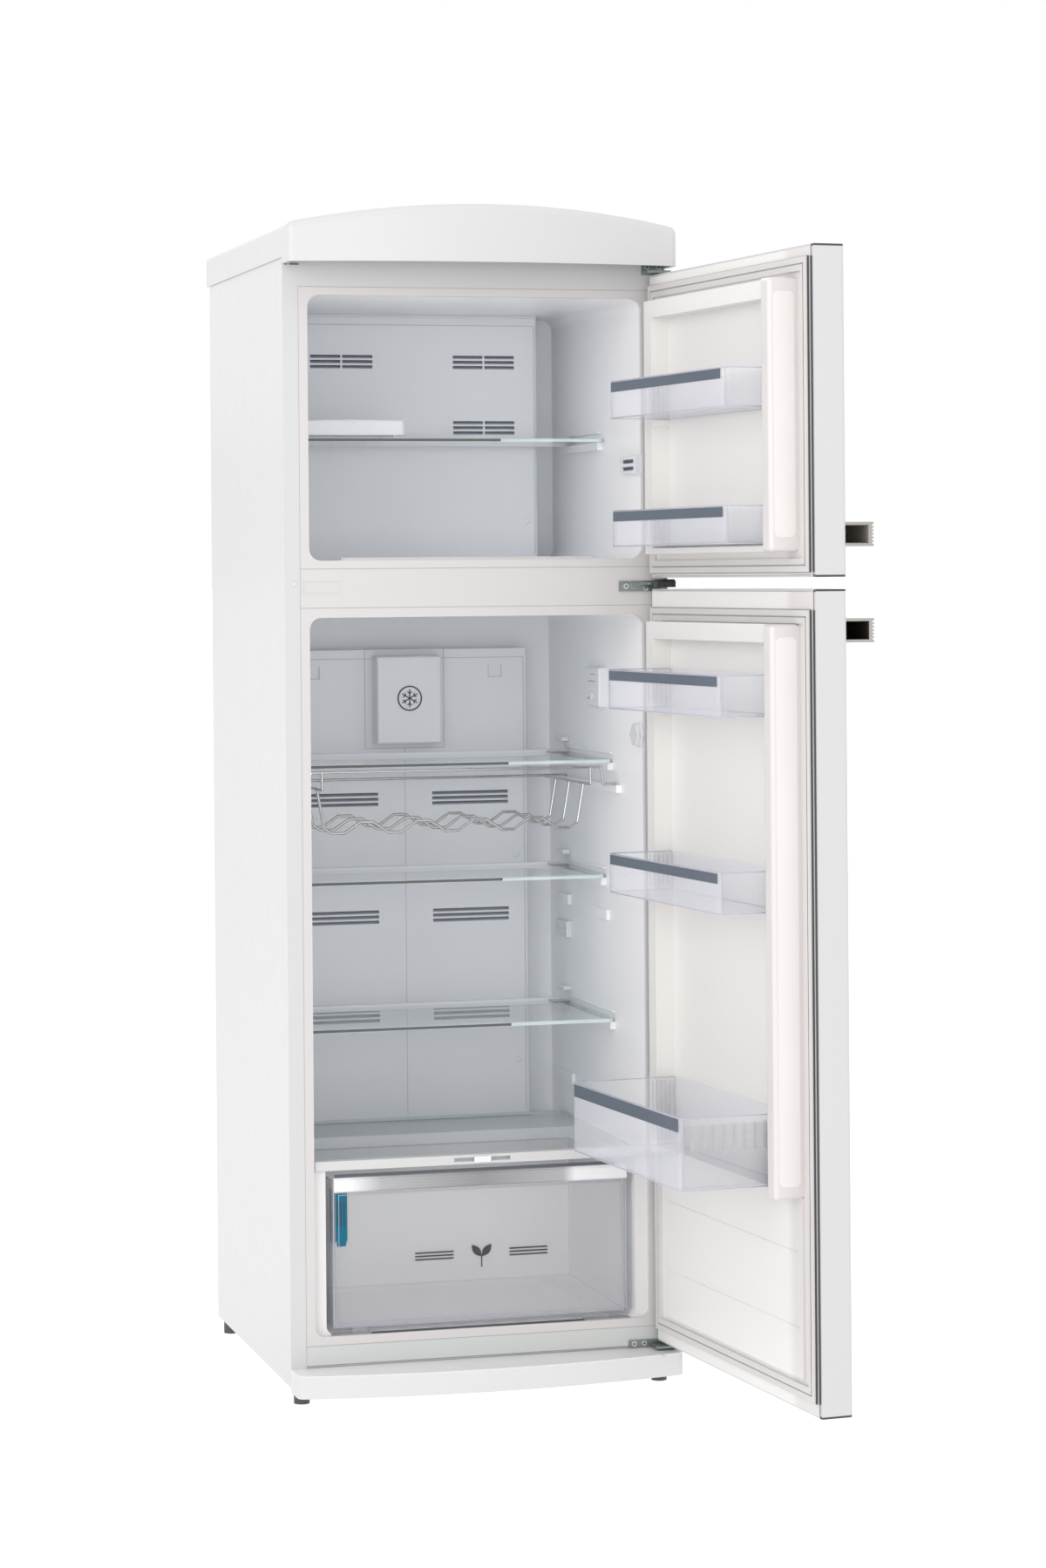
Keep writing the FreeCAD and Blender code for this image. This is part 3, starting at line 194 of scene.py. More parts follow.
def plate_glass(name):
    """Toughened glass: clear through its faces, pale blue-green and dense at its polished edges."""
    material, tree, principled = shader(name)
    place = tree.nodes.new("ShaderNodeTexCoord")
    axes = tree.nodes.new("ShaderNodeSeparateXYZ")
    upright = tree.nodes.new("ShaderNodeMath")
    upright.operation = "ABSOLUTE"
    tree.links.new(place.outputs["Normal"], axes.inputs["Vector"])
    tree.links.new(axes.outputs["Z"], upright.inputs[0])
    face = upright.outputs["Value"]
    edge_colour, face_colour = (0.66, 0.76, 0.78), (0.74, 0.8, 0.81)
    tree.links.new(tint(tree, face, edge_colour, face_colour), principled.inputs["Base Color"])
    tree.links.new(spread(tree, face, 0.92, 0.22), principled.inputs["Alpha"])
    tree.links.new(spread(tree, grain(tree, 12.0), 0.03, 0.07), principled.inputs["Roughness"])
    principled.inputs["Specular IOR Level"].default_value = 0.9
    return material


def make_shell_finishes():
    """Paints and mouldings of the cabinet and the doors."""
    coated("white_paint", (0.575, 0.575, 0.573), 0.32, 900.0, 0.008, 0.995, coat=0.2)
    coated("grey_paint", (0.5, 0.51, 0.52), 0.5, 700.0, 0.15)
    # Painted light: the liner is darker and pinkish at its front flange, bright just inside the mouth and
    # bluish deep inside.
    flange, mouth, depth = (0.6, 0.572, 0.573), (0.95, 0.94, 0.945), (0.92, 0.94, 0.965)
    liner = ((0.0, flange), (0.03, flange), (0.05, mouth), (0.3, mouth), (0.7, depth))
    painted_light_ramp("liner_plastic", "Y", -0.3, 0.1, liner)
    # Painted shade: the door liners turn darker and pinkish towards the doors' free edges.
    outer, inner = (0.67, 0.64, 0.63), (0.78, 0.762, 0.742)
    painted_light_ramp("door_moulding", "Y", -0.85, -0.79, ((0.3, outer), (0.7, inner)))
    coated("rail_paint", (0.565, 0.58, 0.57), 0.36, 600.0, 0.008, 0.995)
    # Painted light: the kick plate's top face is paler than its front face.
    front, top = (0.635, 0.635, 0.635), (0.76, 0.76, 0.76)
    painted_light_ramp("kick_plastic", "Z", 0.052, 0.054, ((0.3, front), (0.7, top)))
    coated("outer_plastic", (0.595, 0.595, 0.595), 0.38, 600.0, 0.008, 0.995)
    # Painted light: this mostly inner white is bluish and paler than the outer whites, to brighten the
    # cabinet's inside.
    coated("white_plastic", (0.785, 0.805, 0.838), 0.33, 600.0, 0.01, 0.99, coat=0.1)
    coated("insulation", (0.78, 0.68, 0.45), 0.9, 180.0, 0.5, 0.9)
    coated("dyke_plastic", (0.78, 0.75, 0.74), 0.36, 500.0, 0.04)
    # Painted shade: the end caps' faces toward the doors' free edges are near black.
    end_cap("cap_plastic", (0.6, 0.6, 0.63), (0.05, 0.05, 0.055))
    coated("gasket_rubber", (0.62, 0.6, 0.59), 0.5, 300.0, 0.1)


def make_metal_finishes():
    """Plated, painted and bare metals."""
    coated("hinge_paint", (0.25, 0.29, 0.28), 0.3, 600.0, 0.1, metallic=0.85)
    coated("hinge_steel", (0.3, 0.34, 0.33), 0.28, 500.0, 0.1, metallic=0.9)
    coated("chrome", (0.46, 0.44, 0.42), 0.13, 60.0, 0.02, metallic=1.0)
    coated("rack_wire", (0.5, 0.5, 0.5), 0.18, 60.0, 0.02, metallic=1.0)
    coated("screw_steel", (0.6, 0.6, 0.6), 0.25, 300.0, 0.1, metallic=1.0)
    coated("copper", (0.72, 0.36, 0.22), 0.3, 200.0, 0.1, 0.8, metallic=1.0)
    coated("silver_plastic", (0.34, 0.35, 0.36), 0.3, 800.0, 0.08, metallic=0.7)
    # Painted reflection: the drawer's front strip and its ribs are bright at both ends and dark in the
    # middle along X.
    bright, middling, dark = (0.82, 0.82, 0.83), (0.42, 0.42, 0.43), (0.27, 0.27, 0.28)
    foil = (
        (0.0, bright), (0.05, bright), (0.16, middling),
        (0.5, dark), (0.78, middling), (0.82, bright),
    )
    painted_light_ramp("strip_silver", "X", -0.23, 0.23, foil)
    brushed("zinc_steel", (0.62, 0.63, 0.64), 0.35)
    brushed("aluminium", (0.75, 0.76, 0.77), 0.3)


def make_dark_finishes():
    """Black, blue and tinted plastics, and the dark finger-well linings as a painted-light and a
    painted-shade copy.
    """
    coated("black_plastic", (0.03, 0.03, 0.032), 0.5, 500.0, 0.2)
    coated("black_paint", (0.025, 0.025, 0.027), 0.35, 300.0, 0.15, coat=0.3)
    coated("dark_plastic", (0.075, 0.073, 0.062), 0.45, 400.0, 0.2, 0.85)
    coated("blue_plastic", (0.004, 0.13, 0.215), 0.4, 300.0, 0.03, 0.8, specular=0.2)
    coated("band_plastic", (0.095, 0.12, 0.155), 0.3, 400.0, 0.05, 0.93, coat=0.2)
    coated("well_painted_light", (0.3, 0.275, 0.235), 0.35, 300.0, 0.03, metallic=0.3)
    coated("well_painted_shade", (0.06, 0.048, 0.04), 0.25, 300.0, 0.03, metallic=0.6)


def make_line_finishes():
    """Prints, joint lines, painted shade in gaps, recesses and creases, painted highlight and reflection
    for the glass edges, and the floor.
    """
    # Dark marks, also used as painted shade in screw recesses, seal creases and gaps, and end-cap corners.
    coated("dark_line", (0.055, 0.055, 0.06), 0.55, 300.0, 0.1)
    coated("print_blue", (0.02, 0.025, 0.032), 0.4, 300.0, 0.05)
    coated("print_grey", (0.03, 0.03, 0.034), 0.4, 300.0, 0.05)
    # Joint lines, also used as painted shade in the seal's paler creases and over the drawer runners'
    # ends.
    coated("seam_and_shade_line", (0.34, 0.345, 0.35), 0.5, 300.0, 0.05)
    coated("shade_line", (0.5, 0.51, 0.53), 0.5, 300.0, 0.05)
    coated("louvre_grey", (0.42, 0.44, 0.5), 0.5, 400.0, 0.02)
    coated("duct_shade", (0.09, 0.1, 0.115), 0.7, 300.0, 0.05)
    # Painted highlight and painted dark reflection for the front edges of the glass shelves.
    coated("painted_edge_highlight", (0.86, 0.9, 0.9), 0.15, 300.0, 0.02)
    coated("shelf_shade", (0.11, 0.115, 0.11), 0.4, 300.0, 0.02)
    floor = coated("floor", (0.3, 0.3, 0.3), 0.9, 40.0, 0.02, specular=0.0)
    floor.node_tree.nodes["Principled BSDF"].inputs["Emission Strength"].default_value = 0.9


def make_clear_finishes():
    """Clear mouldings, the lens and the glass."""
    clear("clear_plastic", (0.9, 0.9, 0.93), (0.66, 0.66, 0.76), 0.07, 0.55, 0.08)
    clear("drawer_clear", (0.95, 0.95, 0.97), (0.74, 0.74, 0.82), 0.18, 0.5, 0.06)
    clear("clear_edge", (0.56, 0.57, 0.68), (0.42, 0.42, 0.54), 0.55, 0.9, 0.1)
    clear("lens_plastic", (0.86, 0.87, 0.87), (0.7, 0.72, 0.74), 0.8, 0.95, 0.2)
    plate_glass("shelf_glass")


# ---- mesh helpers ----

HINGE = Vector((HINGE_ACROSS, HINGE_DEPTH, 0)) * MM
SWING = Matrix.Rotation(math.radians(DOOR_ANGLE), 4, "Z")
DOOR = Matrix.Translation(HINGE) @ SWING @ Matrix.Translation(-HINGE)
HERE = Matrix.Identity(4)


def place_piece(name, mesh, material, body, turn=HERE, bevel=0.0):
    """Put a mesh in the scene, dressed and riding on its body."""
    mesh.transform(turn)
    piece = bpy.data.objects.new(name, mesh)
    bpy.context.scene.collection.objects.link(piece)
    mesh.materials.append(MATERIALS[material])
    for polygon in mesh.polygons:
        polygon.use_smooth = bevel > 0
    if bevel > 0:
        edge = piece.modifiers.new("rounded", "BEVEL")
        edge.width, edge.segments, edge.limit_method = bevel * MM, 3, "ANGLE"
        edge.harden_normals = True
    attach(piece, body)
    return piece


def mesh_from(name, build):
    """A mesh filled by a function that gets a bmesh in millimetres."""
    grid = bmesh.new()
    build(grid)
    bmesh.ops.recalc_face_normals(grid, faces=grid.faces)
    bmesh.ops.scale(grid, vec=(MM, MM, MM), verts=grid.verts)
    mesh = bpy.data.meshes.new(name)
    grid.to_mesh(mesh)
    grid.free()
    return mesh


def add_block(grid, low, high):
    """A box between two corners."""
    made = bmesh.ops.create_cube(grid, size=1.0)["verts"]
    middle = [(a + b) / 2 for a, b in zip(low, high)]
    bmesh.ops.scale(grid, vec=[b - a for a, b in zip(low, high)], verts=made)
    bmesh.ops.translate(grid, vec=middle, verts=made)


def blocks(name, boxes, material, body, turn=HERE, bevel=0.4):
    """One piece made of rounded boxes."""
    def build(grid):
        for low, high in boxes:
            add_block(grid, low, high)
    return place_piece(name, mesh_from(name, build), material, body, turn, bevel)


def add_prism(grid, outline, axis, low, high):
    """An outline in the two other axes, drawn out along an axis."""
    order = {"X": (2, 0, 1), "Y": (0, 2, 1), "Z": (0, 1, 2)}[axis]

    def point(u, v, w):
        return [(u, v, w)[index] for index in order]

    rings = [[grid.verts.new(point(u, v, w)) for u, v in outline] for w in (low, high)]
    grid.faces.new(rings[0])
    grid.faces.new(rings[1])
    count = len(outline)
    for index in range(count):
        after = (index + 1) % count
        grid.faces.new((rings[0][index], rings[0][after], rings[1][after], rings[1][index]))


def prism(name, outline, axis, low, high, material, body, slot, turn=HERE, bevel=0.3):
    """One drawn-out outline as a piece."""
    def build(grid):
        add_prism(grid, outline, axis, low, high)
    return place_piece(name, mesh_from(name, build), material, body, turn, bevel)


def tube(name, points, radius, material, body, turn=HERE, closed=False, smooth=False):
    """A round line through points."""
    curve = bpy.data.curves.new(name, "CURVE")
    curve.dimensions = "3D"
    curve.bevel_depth = radius * MM
    curve.bevel_resolution = 3
    spline = curve.splines.new("NURBS" if smooth else "POLY")
    spline.points.add(len(points) - 1)
    for target, point in zip(spline.points, points):
        target.co = (*(turn @ (Vector(point) * MM)), 1)
    spline.use_cyclic_u = closed
    if smooth:
        spline.order_u = 3
        spline.use_endpoint_u = True
    curve.use_fill_caps = not closed
    curve.materials.append(MATERIALS[material])
    piece = bpy.data.objects.new(name, curve)
    bpy.context.scene.collection.objects.link(piece)
    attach(piece, body)
    return piece


def lathe_points(profile, steps):
    """Rings of points around the Z axis for a profile of radius and height."""
    turn = 2 * math.pi / steps
    return [
        [(r * math.cos(turn * k), r * math.sin(turn * k), h) for k in range(steps)] for r, h in profile
    ]


def ring_faces(grid, first, second):
    """Quads between two rings of vertices."""
    for k in range(len(first)):
        after = (k + 1) % len(first)
        grid.faces.new((first[k], first[after], second[after], second[k]))


LATHE_STEPS, RING_STEPS = 40, 48
ALONG_Y = Matrix.Rotation(math.radians(-90), 4, "X")


def lathe(name, profile, centre, axis, material, body):
    """A turned piece: a profile of radius and height about Y or Z through its centre."""
    spin = ALONG_Y if axis == "Y" else HERE

    def build(grid):
        rings = [[grid.verts.new(p) for p in ring] for ring in lathe_points(profile, LATHE_STEPS)]
        for first, second in zip(rings, rings[1:]):
            ring_faces(grid, first, second)
        grid.faces.new(rings[0])
        grid.faces.new(rings[-1])
        bmesh.ops.transform(grid, matrix=Matrix.Translation(Vector(centre)) @ spin, verts=grid.verts)

    piece = place_piece(name, mesh_from(name, build), material, body)
    for polygon in piece.data.polygons:
        polygon.use_smooth = len(polygon.vertices) == 4
    return piece


def lathe_ring(name, profile, centre, material, body):
    """A closed ring turned about an axis along Y through its centre."""
    def build(grid):
        rings = [[grid.verts.new(p) for p in ring] for ring in lathe_points(profile, RING_STEPS)]
        for first, second in zip(rings, rings[1:] + rings[:1]):
            ring_faces(grid, first, second)
        bmesh.ops.transform(grid, matrix=Matrix.Translation(Vector(centre)) @ ALONG_Y, verts=grid.verts)

    return place_piece(name, mesh_from(name, build), material, body)


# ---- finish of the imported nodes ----

FINISHES = {
    "top_crown": "outer_plastic", "crisper_trim": "outer_plastic",
    # kick_plastic, door_moulding and strip_silver carry painted light, shade and reflection.
    "kick_plate": "kick_plastic", "bottom_rail": "rail_paint",
    "freezer_door_liner": "door_moulding", "fridge_door_liner": "door_moulding",
    "crisper_drawer": "drawer_clear", "drawer_strip": "strip_silver",
    "wine_rack": "rack_wire",
}


def dress_nodes():
    """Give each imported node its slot's material, or its own finish."""
    slots = {part["node"]: part["material_slot"] for part in frame["record"]["subparts"]}
    for node, piece in NODES.items():
        material = MATERIALS[FINISHES.get(node, slots[node])]
        if not piece.material_slots:
            piece.data.materials.append(material)
        for holder in piece.material_slots:
            holder.material = material


# ---- cabinet details ----

def add_seams():
    """Fine joint lines round the liner flanges, mullion and bottom rail, and the crown's clips."""
    face = (CABINET_FACE - 0.16, CABINET_FACE)
    rows = [(-276, 276, z) for z in (1677.2, 1253.4, 1194.6, 86.4, 57.4)]
    boxes = [((x0, face[0], z - 0.45), (x1, face[1], z + 0.45)) for x0, x1, z in rows]
    for x in (-276, 276):
        boxes.append(((x - 0.35, face[0], 58), (x + 0.35, face[1], 1677)))
    blocks("flange_seams", boxes, "seam_and_shade_line", "cabinet", bevel=0.05)
    tabs = [((low, -299.5, 1709.6), (high, -296.5, 1711)) for low, high in ((-297, -293.5), (-289, -275))]
    blocks("crown_clips", tabs, "dark_line", "cabinet", bevel=0.3)


SCREW_PLACES = ((270, 1713), (289, 1713), (232.6, 1223.5), (264, 1220.5), (236, 61), (252, 61))


def add_hinge_details():
    """Painted shade in the screw recesses, and the stop block, washers, nut and leaf rib of the hinges."""
    for index, (x, z) in enumerate(SCREW_PLACES):
        blocks(
            f"screw_recess_shade_{index}",
            [((x - 2.4, -299.95, z - 0.5), (x + 2.4, -299.7, z + 0.5)),
             ((x - 0.5, -299.95, z - 2.4), (x + 0.5, -299.7, z + 2.4))],
            "dark_line", "cabinet", bevel=0.08,
        )
    stop = [(-352, 1221.4), (-332, 1221.4), (-332, 1233.6), (-346, 1233.6), (-352, 1230)]
    prism("hinge_stop", stop, "X", 266, 296, "black_plastic", "cabinet", "black_plastic", bevel=0.8)
    for index, height in enumerate((1229.6, 61.1)):
        profile = [(5.3, 0), (8.6, 0), (8.6, 1.2), (5.3, 1.2)]
        centre = (HINGE_ACROSS, HINGE_DEPTH, height)
        lathe(f"hinge_washer_{index}", profile, centre, "Z", "chrome", "cabinet")
    nut = [(1, 0), (6.2, 0), (6.6, 0.4), (6.6, 1.9), (6.2, 2.3), (1, 2.3)]
    centre = (HINGE_ACROSS, HINGE_DEPTH, 54.5)
    lathe("hinge_nut", nut, centre, "Z", "black_plastic", "cabinet")
    rib = [(-297.9, 1217.4), (-298.6, 1218.2), (-298.6, 1229), (-297.9, 1229.8)]
    prism("hinge_leaf_rib", rib, "X", 240, 257, "hinge_steel", "cabinet", "hinge_paint", bevel=0.2)


def add_kick_details():
    """Joint line across the top of the kick plate near its right end."""
    line = [((262, -371.9, 54.0), (262.8, -350, 54.25))]
    blocks("kick_joint", line, "seam_and_shade_line", "cabinet", bevel=0.05)


def louvre_rows(x, z, pitch, y):
    """Boxes for a ladder of louvres between two uprights, each filling 0.45 of its pitch."""
    rows, height = [], z[0]
    while height < z[1]:
        rows.append(((x[0], y[0], height), (x[1], y[1], height + pitch * 0.45)))
        height += pitch
    return rows


def add_machine_cover():
    """Frame, louvres and screws of the machine cover."""
    frame_boxes = [
        ((-297, 291.4, 31), (297, 294.6, 46)), ((-297, 291.4, 276), (297, 294.6, 291)),
        ((-297, 291.4, 46), (-282, 294.6, 276)), ((282, 291.4, 46), (297, 294.6, 276)),
        ((-40, 291.4, 46), (60, 294.6, 276)),
    ]
    blocks("rear_cover_frame", frame_boxes, "grey_paint", "cabinet", bevel=0.8)
    rows = []
    for x in ((-281, -41), (61, 281)):
        rows += louvre_rows(x, (52, 272), 11, (291.8, 294.2))
    blocks("rear_cover_louvres", rows, "grey_paint", "cabinet", bevel=0.6)
    for index, (x, z) in enumerate(((-289, 38), (289, 38), (-289, 284), (289, 284), (0, 38), (0, 284))):
        lathe(
            f"rear_screw_{index}", [(4.4, 0), (4.4, 0.9), (3.4, 1.9), (1.2, 2.1), (1.0, 1.5)],
            (x, 294.5, z), "Y", "screw_steel", "cabinet",
        )


def add_rear_panel():
    """Foam plugs, wall spacers and a blank plate on the rear panel."""
    for index, (x, z) in enumerate(((-230, 620), (230, 620), (-230, 1280), (230, 1280), (0, 950))):
        lathe(
            f"foam_plug_{index}", [(13, 0), (13, 0.8), (11.5, 1.6), (9, 1.6), (8, 1.0)],
            (x, REAR_FACE, z), "Y", "white_plastic", "cabinet",
        )
    for side, x in (("left", -200), ("right", 200)):
        cross = [
            ((x - 16, REAR_FACE, 1560), (x + 16, REAR_FACE + 8, 1574)),
            ((x - 4, REAR_FACE, 1540), (x + 4, REAR_FACE + 7, 1594)),
        ]
        blocks(f"rear_spacer_{side}", cross, "black_plastic", "cabinet", bevel=1.2)
    plate = [((-45, REAR_FACE, 1180), (45, REAR_FACE + 0.5, 1250))]
    blocks("blank_plate", plate, "silver_plastic", "cabinet", bevel=0.2)


def add_machine_room():
    """Copper lines, condenser fins and drain tray behind the louvres."""
    lines = (
        ("suction_line", [
            (-60, 175, 218), (-60, 175, 250), (-60, 230, 262), (40, 270, 262),
            (150, 270, 262), (230, 240, 250), (230, 110, 240),
        ]),
        ("discharge_line", [
            (-150, 175, 150), (-205, 175, 150), (-240, 190, 120), (-240, 250, 90),
            (-120, 265, 62), (80, 265, 62), (150, 240, 70),
        ]),
        ("process_stub", [(-90, 240, 120), (-90, 262, 120), (-86, 272, 140), (-84, 274, 180)]),
    )
    for name, points in lines:
        tube(name, points, 3.2, "copper", "cabinet", smooth=True)
    fins = [((110 + 9 * k, 150, 70), (111.2 + 9 * k, 235, 190)) for k in range(15)]
    blocks("condenser_fins", fins, "black_paint", "cabinet", bevel=0.1)
    tray = [((-170, 140, 214), (-20, 240, 217)), ((-170, 140, 217), (-167, 240, 232)),
            ((-23, 140, 217), (-20, 240, 232)), ((-167, 140, 217), (-23, 143, 232)),
            ((-167, 237, 217), (-23, 240, 232))]
    blocks("drain_tray", tray, "black_plastic", "cabinet", bevel=0.8)


# ---- details inside ----

FREEZER_ROWS, FRIDGE_ROWS = ((1577.5, 1599.5), (1471, 1493)), ((865, 887), (672, 694), (510.5, 532.5))
FREEZER_SLOTS, FRIDGE_SLOTS = ((-170, -67), (67, 170)), ((-174.5, -45.5), (45.5, 174.5))
GRILLES = [(x, row, FREEZER_DUCT) for row in FREEZER_ROWS for x in FREEZER_SLOTS]
GRILLES += [(x, row, FRIDGE_DUCT) for row in FRIDGE_ROWS for x in FRIDGE_SLOTS]
BLADES, BLADE_SHARE = 3, 0.65


def ring_strips(x, z, width, y):
    """Four strips of a rectangular frame: free side, hinge side, lower and upper."""
    (x0, x1), (z0, z1) = x, z
    return [
        ((x0, y[0], z0), (x0 + width, y[1], z1)), ((x1 - width, y[0], z0), (x1, y[1], z1)),
        ((x0, y[0], z0), (x1, y[1], z0 + width)), ((x0, y[0], z1 - width), (x1, y[1], z1)),
    ]


def add_louvres():
    """Three sloping blades behind each grille of the duct covers."""
    for index, (x, (low, high), y) in enumerate(GRILLES):
        pitch = (high - low) / (BLADES - 1 + BLADE_SHARE)

        def build(grid):
            for row in range(BLADES):
                foot, head = low + row * pitch, low + (row + BLADE_SHARE) * pitch
                blade = [(y + 0.5, foot), (y + 0.5, foot + 0.7), (y + 9, head + 0.8), (y + 9, head)]
                add_prism(grid, blade, "X", x[0] - 1, x[1] + 1)

        mesh = mesh_from(f"louvres_{index}", build)
        place_piece(f"louvres_{index}", mesh, "louvre_grey", "cabinet", bevel=0.1)


def add_duct_details():
    """Border lines, top seal and screw caps of the duct covers."""
    upper, lower = (FREEZER_DUCT - 0.4, FREEZER_DUCT), (FRIDGE_DUCT - 0.4, FRIDGE_DUCT)
    lines = [
        ((-203, upper[0], 1648), (203, upper[1], 1649)),
        ((203, upper[0], 1276), (204, upper[1], 1649)),
        ((-204, upper[0], 1276), (-203, upper[1], 1649)),
        ((-202, lower[0], 1106), (202, lower[1], 1107)),
        ((201.5, lower[0], 356), (202.5, lower[1], 1107)),
        ((-202.5, lower[0], 356), (-201.5, lower[1], 1107)),
        ((-0.4, lower[0], 356), (0.4, lower[1], 960)),
    ]
    lines += ring_strips((-67, 67), (959, 1123), 1.1, lower)
    for x in (-165, 142):
        lines += ring_strips((x, x + 23), (1074, 1095), 0.9, lower)[:3]
    blocks("duct_border_lines", lines, "shade_line", "cabinet", bevel=0.1)
    seal = [((-208, FREEZER_DUCT + 1, 1661.2), (208, FREEZER_DUCT + 6, 1664.8))]
    blocks("duct_top_seal", seal, "white_plastic", "cabinet", bevel=0.4)
    places = ((190, FREEZER_DUCT, 1330), (188, FRIDGE_DUCT, 440), (188, FRIDGE_DUCT, 780))
    centres = [(side * x, y, z) for x, y, z in places for side in (-1, 1)]
    for index, centre in enumerate(centres):
        cap = [(5, 0), (5, -0.8), (4, -1.5), (1, -1.7)]
        lathe(f"screw_cap_{index}", cap, centre, "Y", "white_plastic", "cabinet")


def snowflake(centre, reach, y):
    """Turns and boxes of a plain six-armed snowflake."""
    place = Matrix.Translation((centre[0], y, centre[1]))
    arms = []
    for k in range(6):
        spin = Matrix.Rotation(math.radians(60 * k), 4, "Y")
        arms.append((place @ spin, (-0.85, 0, 0), (0.85, 0, reach)))
        for side in (-1, 1):
            lean = Matrix.Rotation(math.radians(52 * side), 4, "Y")
            twig = spin @ Matrix.Translation((0, 0, reach * 0.55)) @ lean
            arms.append((place @ twig, (-0.7, 0, 0), (0.7, 0, reach * 0.34)))
    return arms


def add_badge():
    """A plain snowflake in a ring on the duct box."""
    thickness, height = 0.8, 1042

    def build(grid):
        for turn, low, high in snowflake((0, height), 14.5, 157.2):
            made = bmesh.ops.create_cube(grid, size=1.0)["verts"]
            bmesh.ops.scale(grid, vec=(high[0] - low[0], thickness, high[2] - low[2]), verts=made)
            bmesh.ops.translate(grid, vec=(0, thickness / 2, (low[2] + high[2]) / 2), verts=made)
            bmesh.ops.transform(grid, matrix=turn, verts=made)

    mesh = mesh_from("snowflake_mark", build)
    place_piece("snowflake_mark", mesh, "print_grey", "cabinet")
    profile = [(18.4, -0.9), (20.6, -0.9), (20.6, 0.2), (18.4, 0.2)]
    lathe_ring("mark_ring", profile, (0, 158, height), "print_grey", "cabinet")


def both_walls(reach, y, z, height):
    """Two boxes that stand out of the left and right walls by the same reach."""
    return [
        ((WALL - reach, y[0], z), (WALL, y[1], z + height)),
        ((-WALL, y[0], z), (-WALL + reach, y[1], z + height)),
    ]


def add_wall_fittings():
    """Marks on the control box, the lamp's frame, and painted shade in the slots of the freezer's sensor
    cover.
    """
    marks = [((249.7, -30 - 7 * k, 1043), (250, -27 - 7 * k, 1046)) for k in range(3)]
    marks += [((249.7, -66, 1071), (250, -26, 1071.8)), ((249.7, -66, 1082), (250, -40, 1082.8))]
    blocks("control_marks", marks, "print_grey", "cabinet", bevel=0.05)
    reach, outline = 25.5, []
    for k in range(6):
        angle = math.radians(60 * k)
        outline.append((-268 + reach * math.cos(angle), 994 + 0.85 * reach * math.sin(angle)))
    lamp = (WALL - 2.6, WALL + 0.1)
    prism("lamp_frame", outline, "X", *lamp, "white_plastic", "cabinet", "white_plastic", bevel=0.8)
    slots = [((254.2, -277, z), (254.6, -218, z + 4)) for z in (1403, 1414)]
    blocks("sensor_shade", slots, "duct_shade", "cabinet", bevel=0.1)


def add_wall_supports():
    """Stops behind the shelves of the fresh food compartment, and ribs under all shelves."""
    stops = (((130, 168), 968), ((128, 166), 783), ((128, 166), 559))
    for index, (y, z) in enumerate(stops):
        pegs = both_walls(12.8, y, z, 7)
        blocks(f"shelf_stop_{index}", pegs, "white_plastic", "cabinet", bevel=1.6)
    ribs = []
    for y, z in (((-68, 112), 1466), ((-120, 150), 958), ((-78, 150), 773), ((-124, 150), 549)):
        ribs += both_walls(3.8, y, z, 3.2)
    blocks("wall_ribs", ribs, "liner_plastic", "cabinet", bevel=1.2)


def add_shelf_trim():
    """Painted highlight and painted dark reflection on the front edges of the glass shelves, and their
    rear rails and clips.
    """
    shelves = (
        ("freezer_shelf", 1457.5, -96, 110), ("fridge_shelf_1", 950, -127, 160),
        ("fridge_shelf_2", 765, -85, 160), ("fridge_shelf_3", 541, -131, 160),
    )
    for name, top, front, back in shelves:
        # Painted highlight on the right part of each front edge.
        highlight_strip = [((90, front, top - 1.1), (248, front + 0.9, top - 0.35))]
        blocks(f"{name}_front_highlight", highlight_strip, "painted_edge_highlight", name, bevel=0.2)
        # Painted dark reflection on the left part of each front edge.
        shade = [((-248, front - 0.25, top - 5.0), (90, front + 0.5, top - 0.6))]
        blocks(f"{name}_front_shade", shade, "shelf_shade", name, bevel=0.2)
        rail = [((-252, back - 9, top - 6.4), (252, back - 0.5, top + 4.5))]
        blocks(f"{name}_rear_rail", rail, "white_plastic", name, bevel=1.4)
        clip = [((228, back - 46, top + 0.1), (256, back - 12, top + 2.4))]
        blocks(f"{name}_clip", clip, "chrome", name, bevel=0.8)


def add_tray_details():
    """Rolled rim, grip tabs and centre joint of the twin ice tray."""
    rim = [(-232, -88, 1485.5), (-62, -88, 1485.5), (-62, 20, 1485.5), (-232, 20, 1485.5)]
    tube("tray_rim", rim, 1.3, "white_plastic", "ice_tray", closed=True)
    joint = [((-148, -89.5, 1480), (-146, 21, 1486.8))]
    blocks("tray_joint", joint, "white_plastic", "ice_tray", bevel=0.5)
    tabs = [((-241, -52, 1483), (-231, -18, 1485.6)), ((-63, -52, 1483), (-53, -18, 1485.6))]
    blocks("tray_tabs", tabs, "white_plastic", "ice_tray", bevel=0.9)


def leaf_outline(centre, length, width, tilt):
    """Points of a plain leaf: two sine curves between its stalk and its tip."""
    steps = 15
    upper = [(k / steps * length, math.sin(math.pi * k / steps) * width) for k in range(steps + 1)]
    lower = [(u, -v) for u, v in reversed(upper[1:-1])]
    c, s = math.cos(tilt), math.sin(tilt)
    return [(centre[0] + c * u - s * v, centre[1] + s * u + c * v) for u, v in upper + lower]


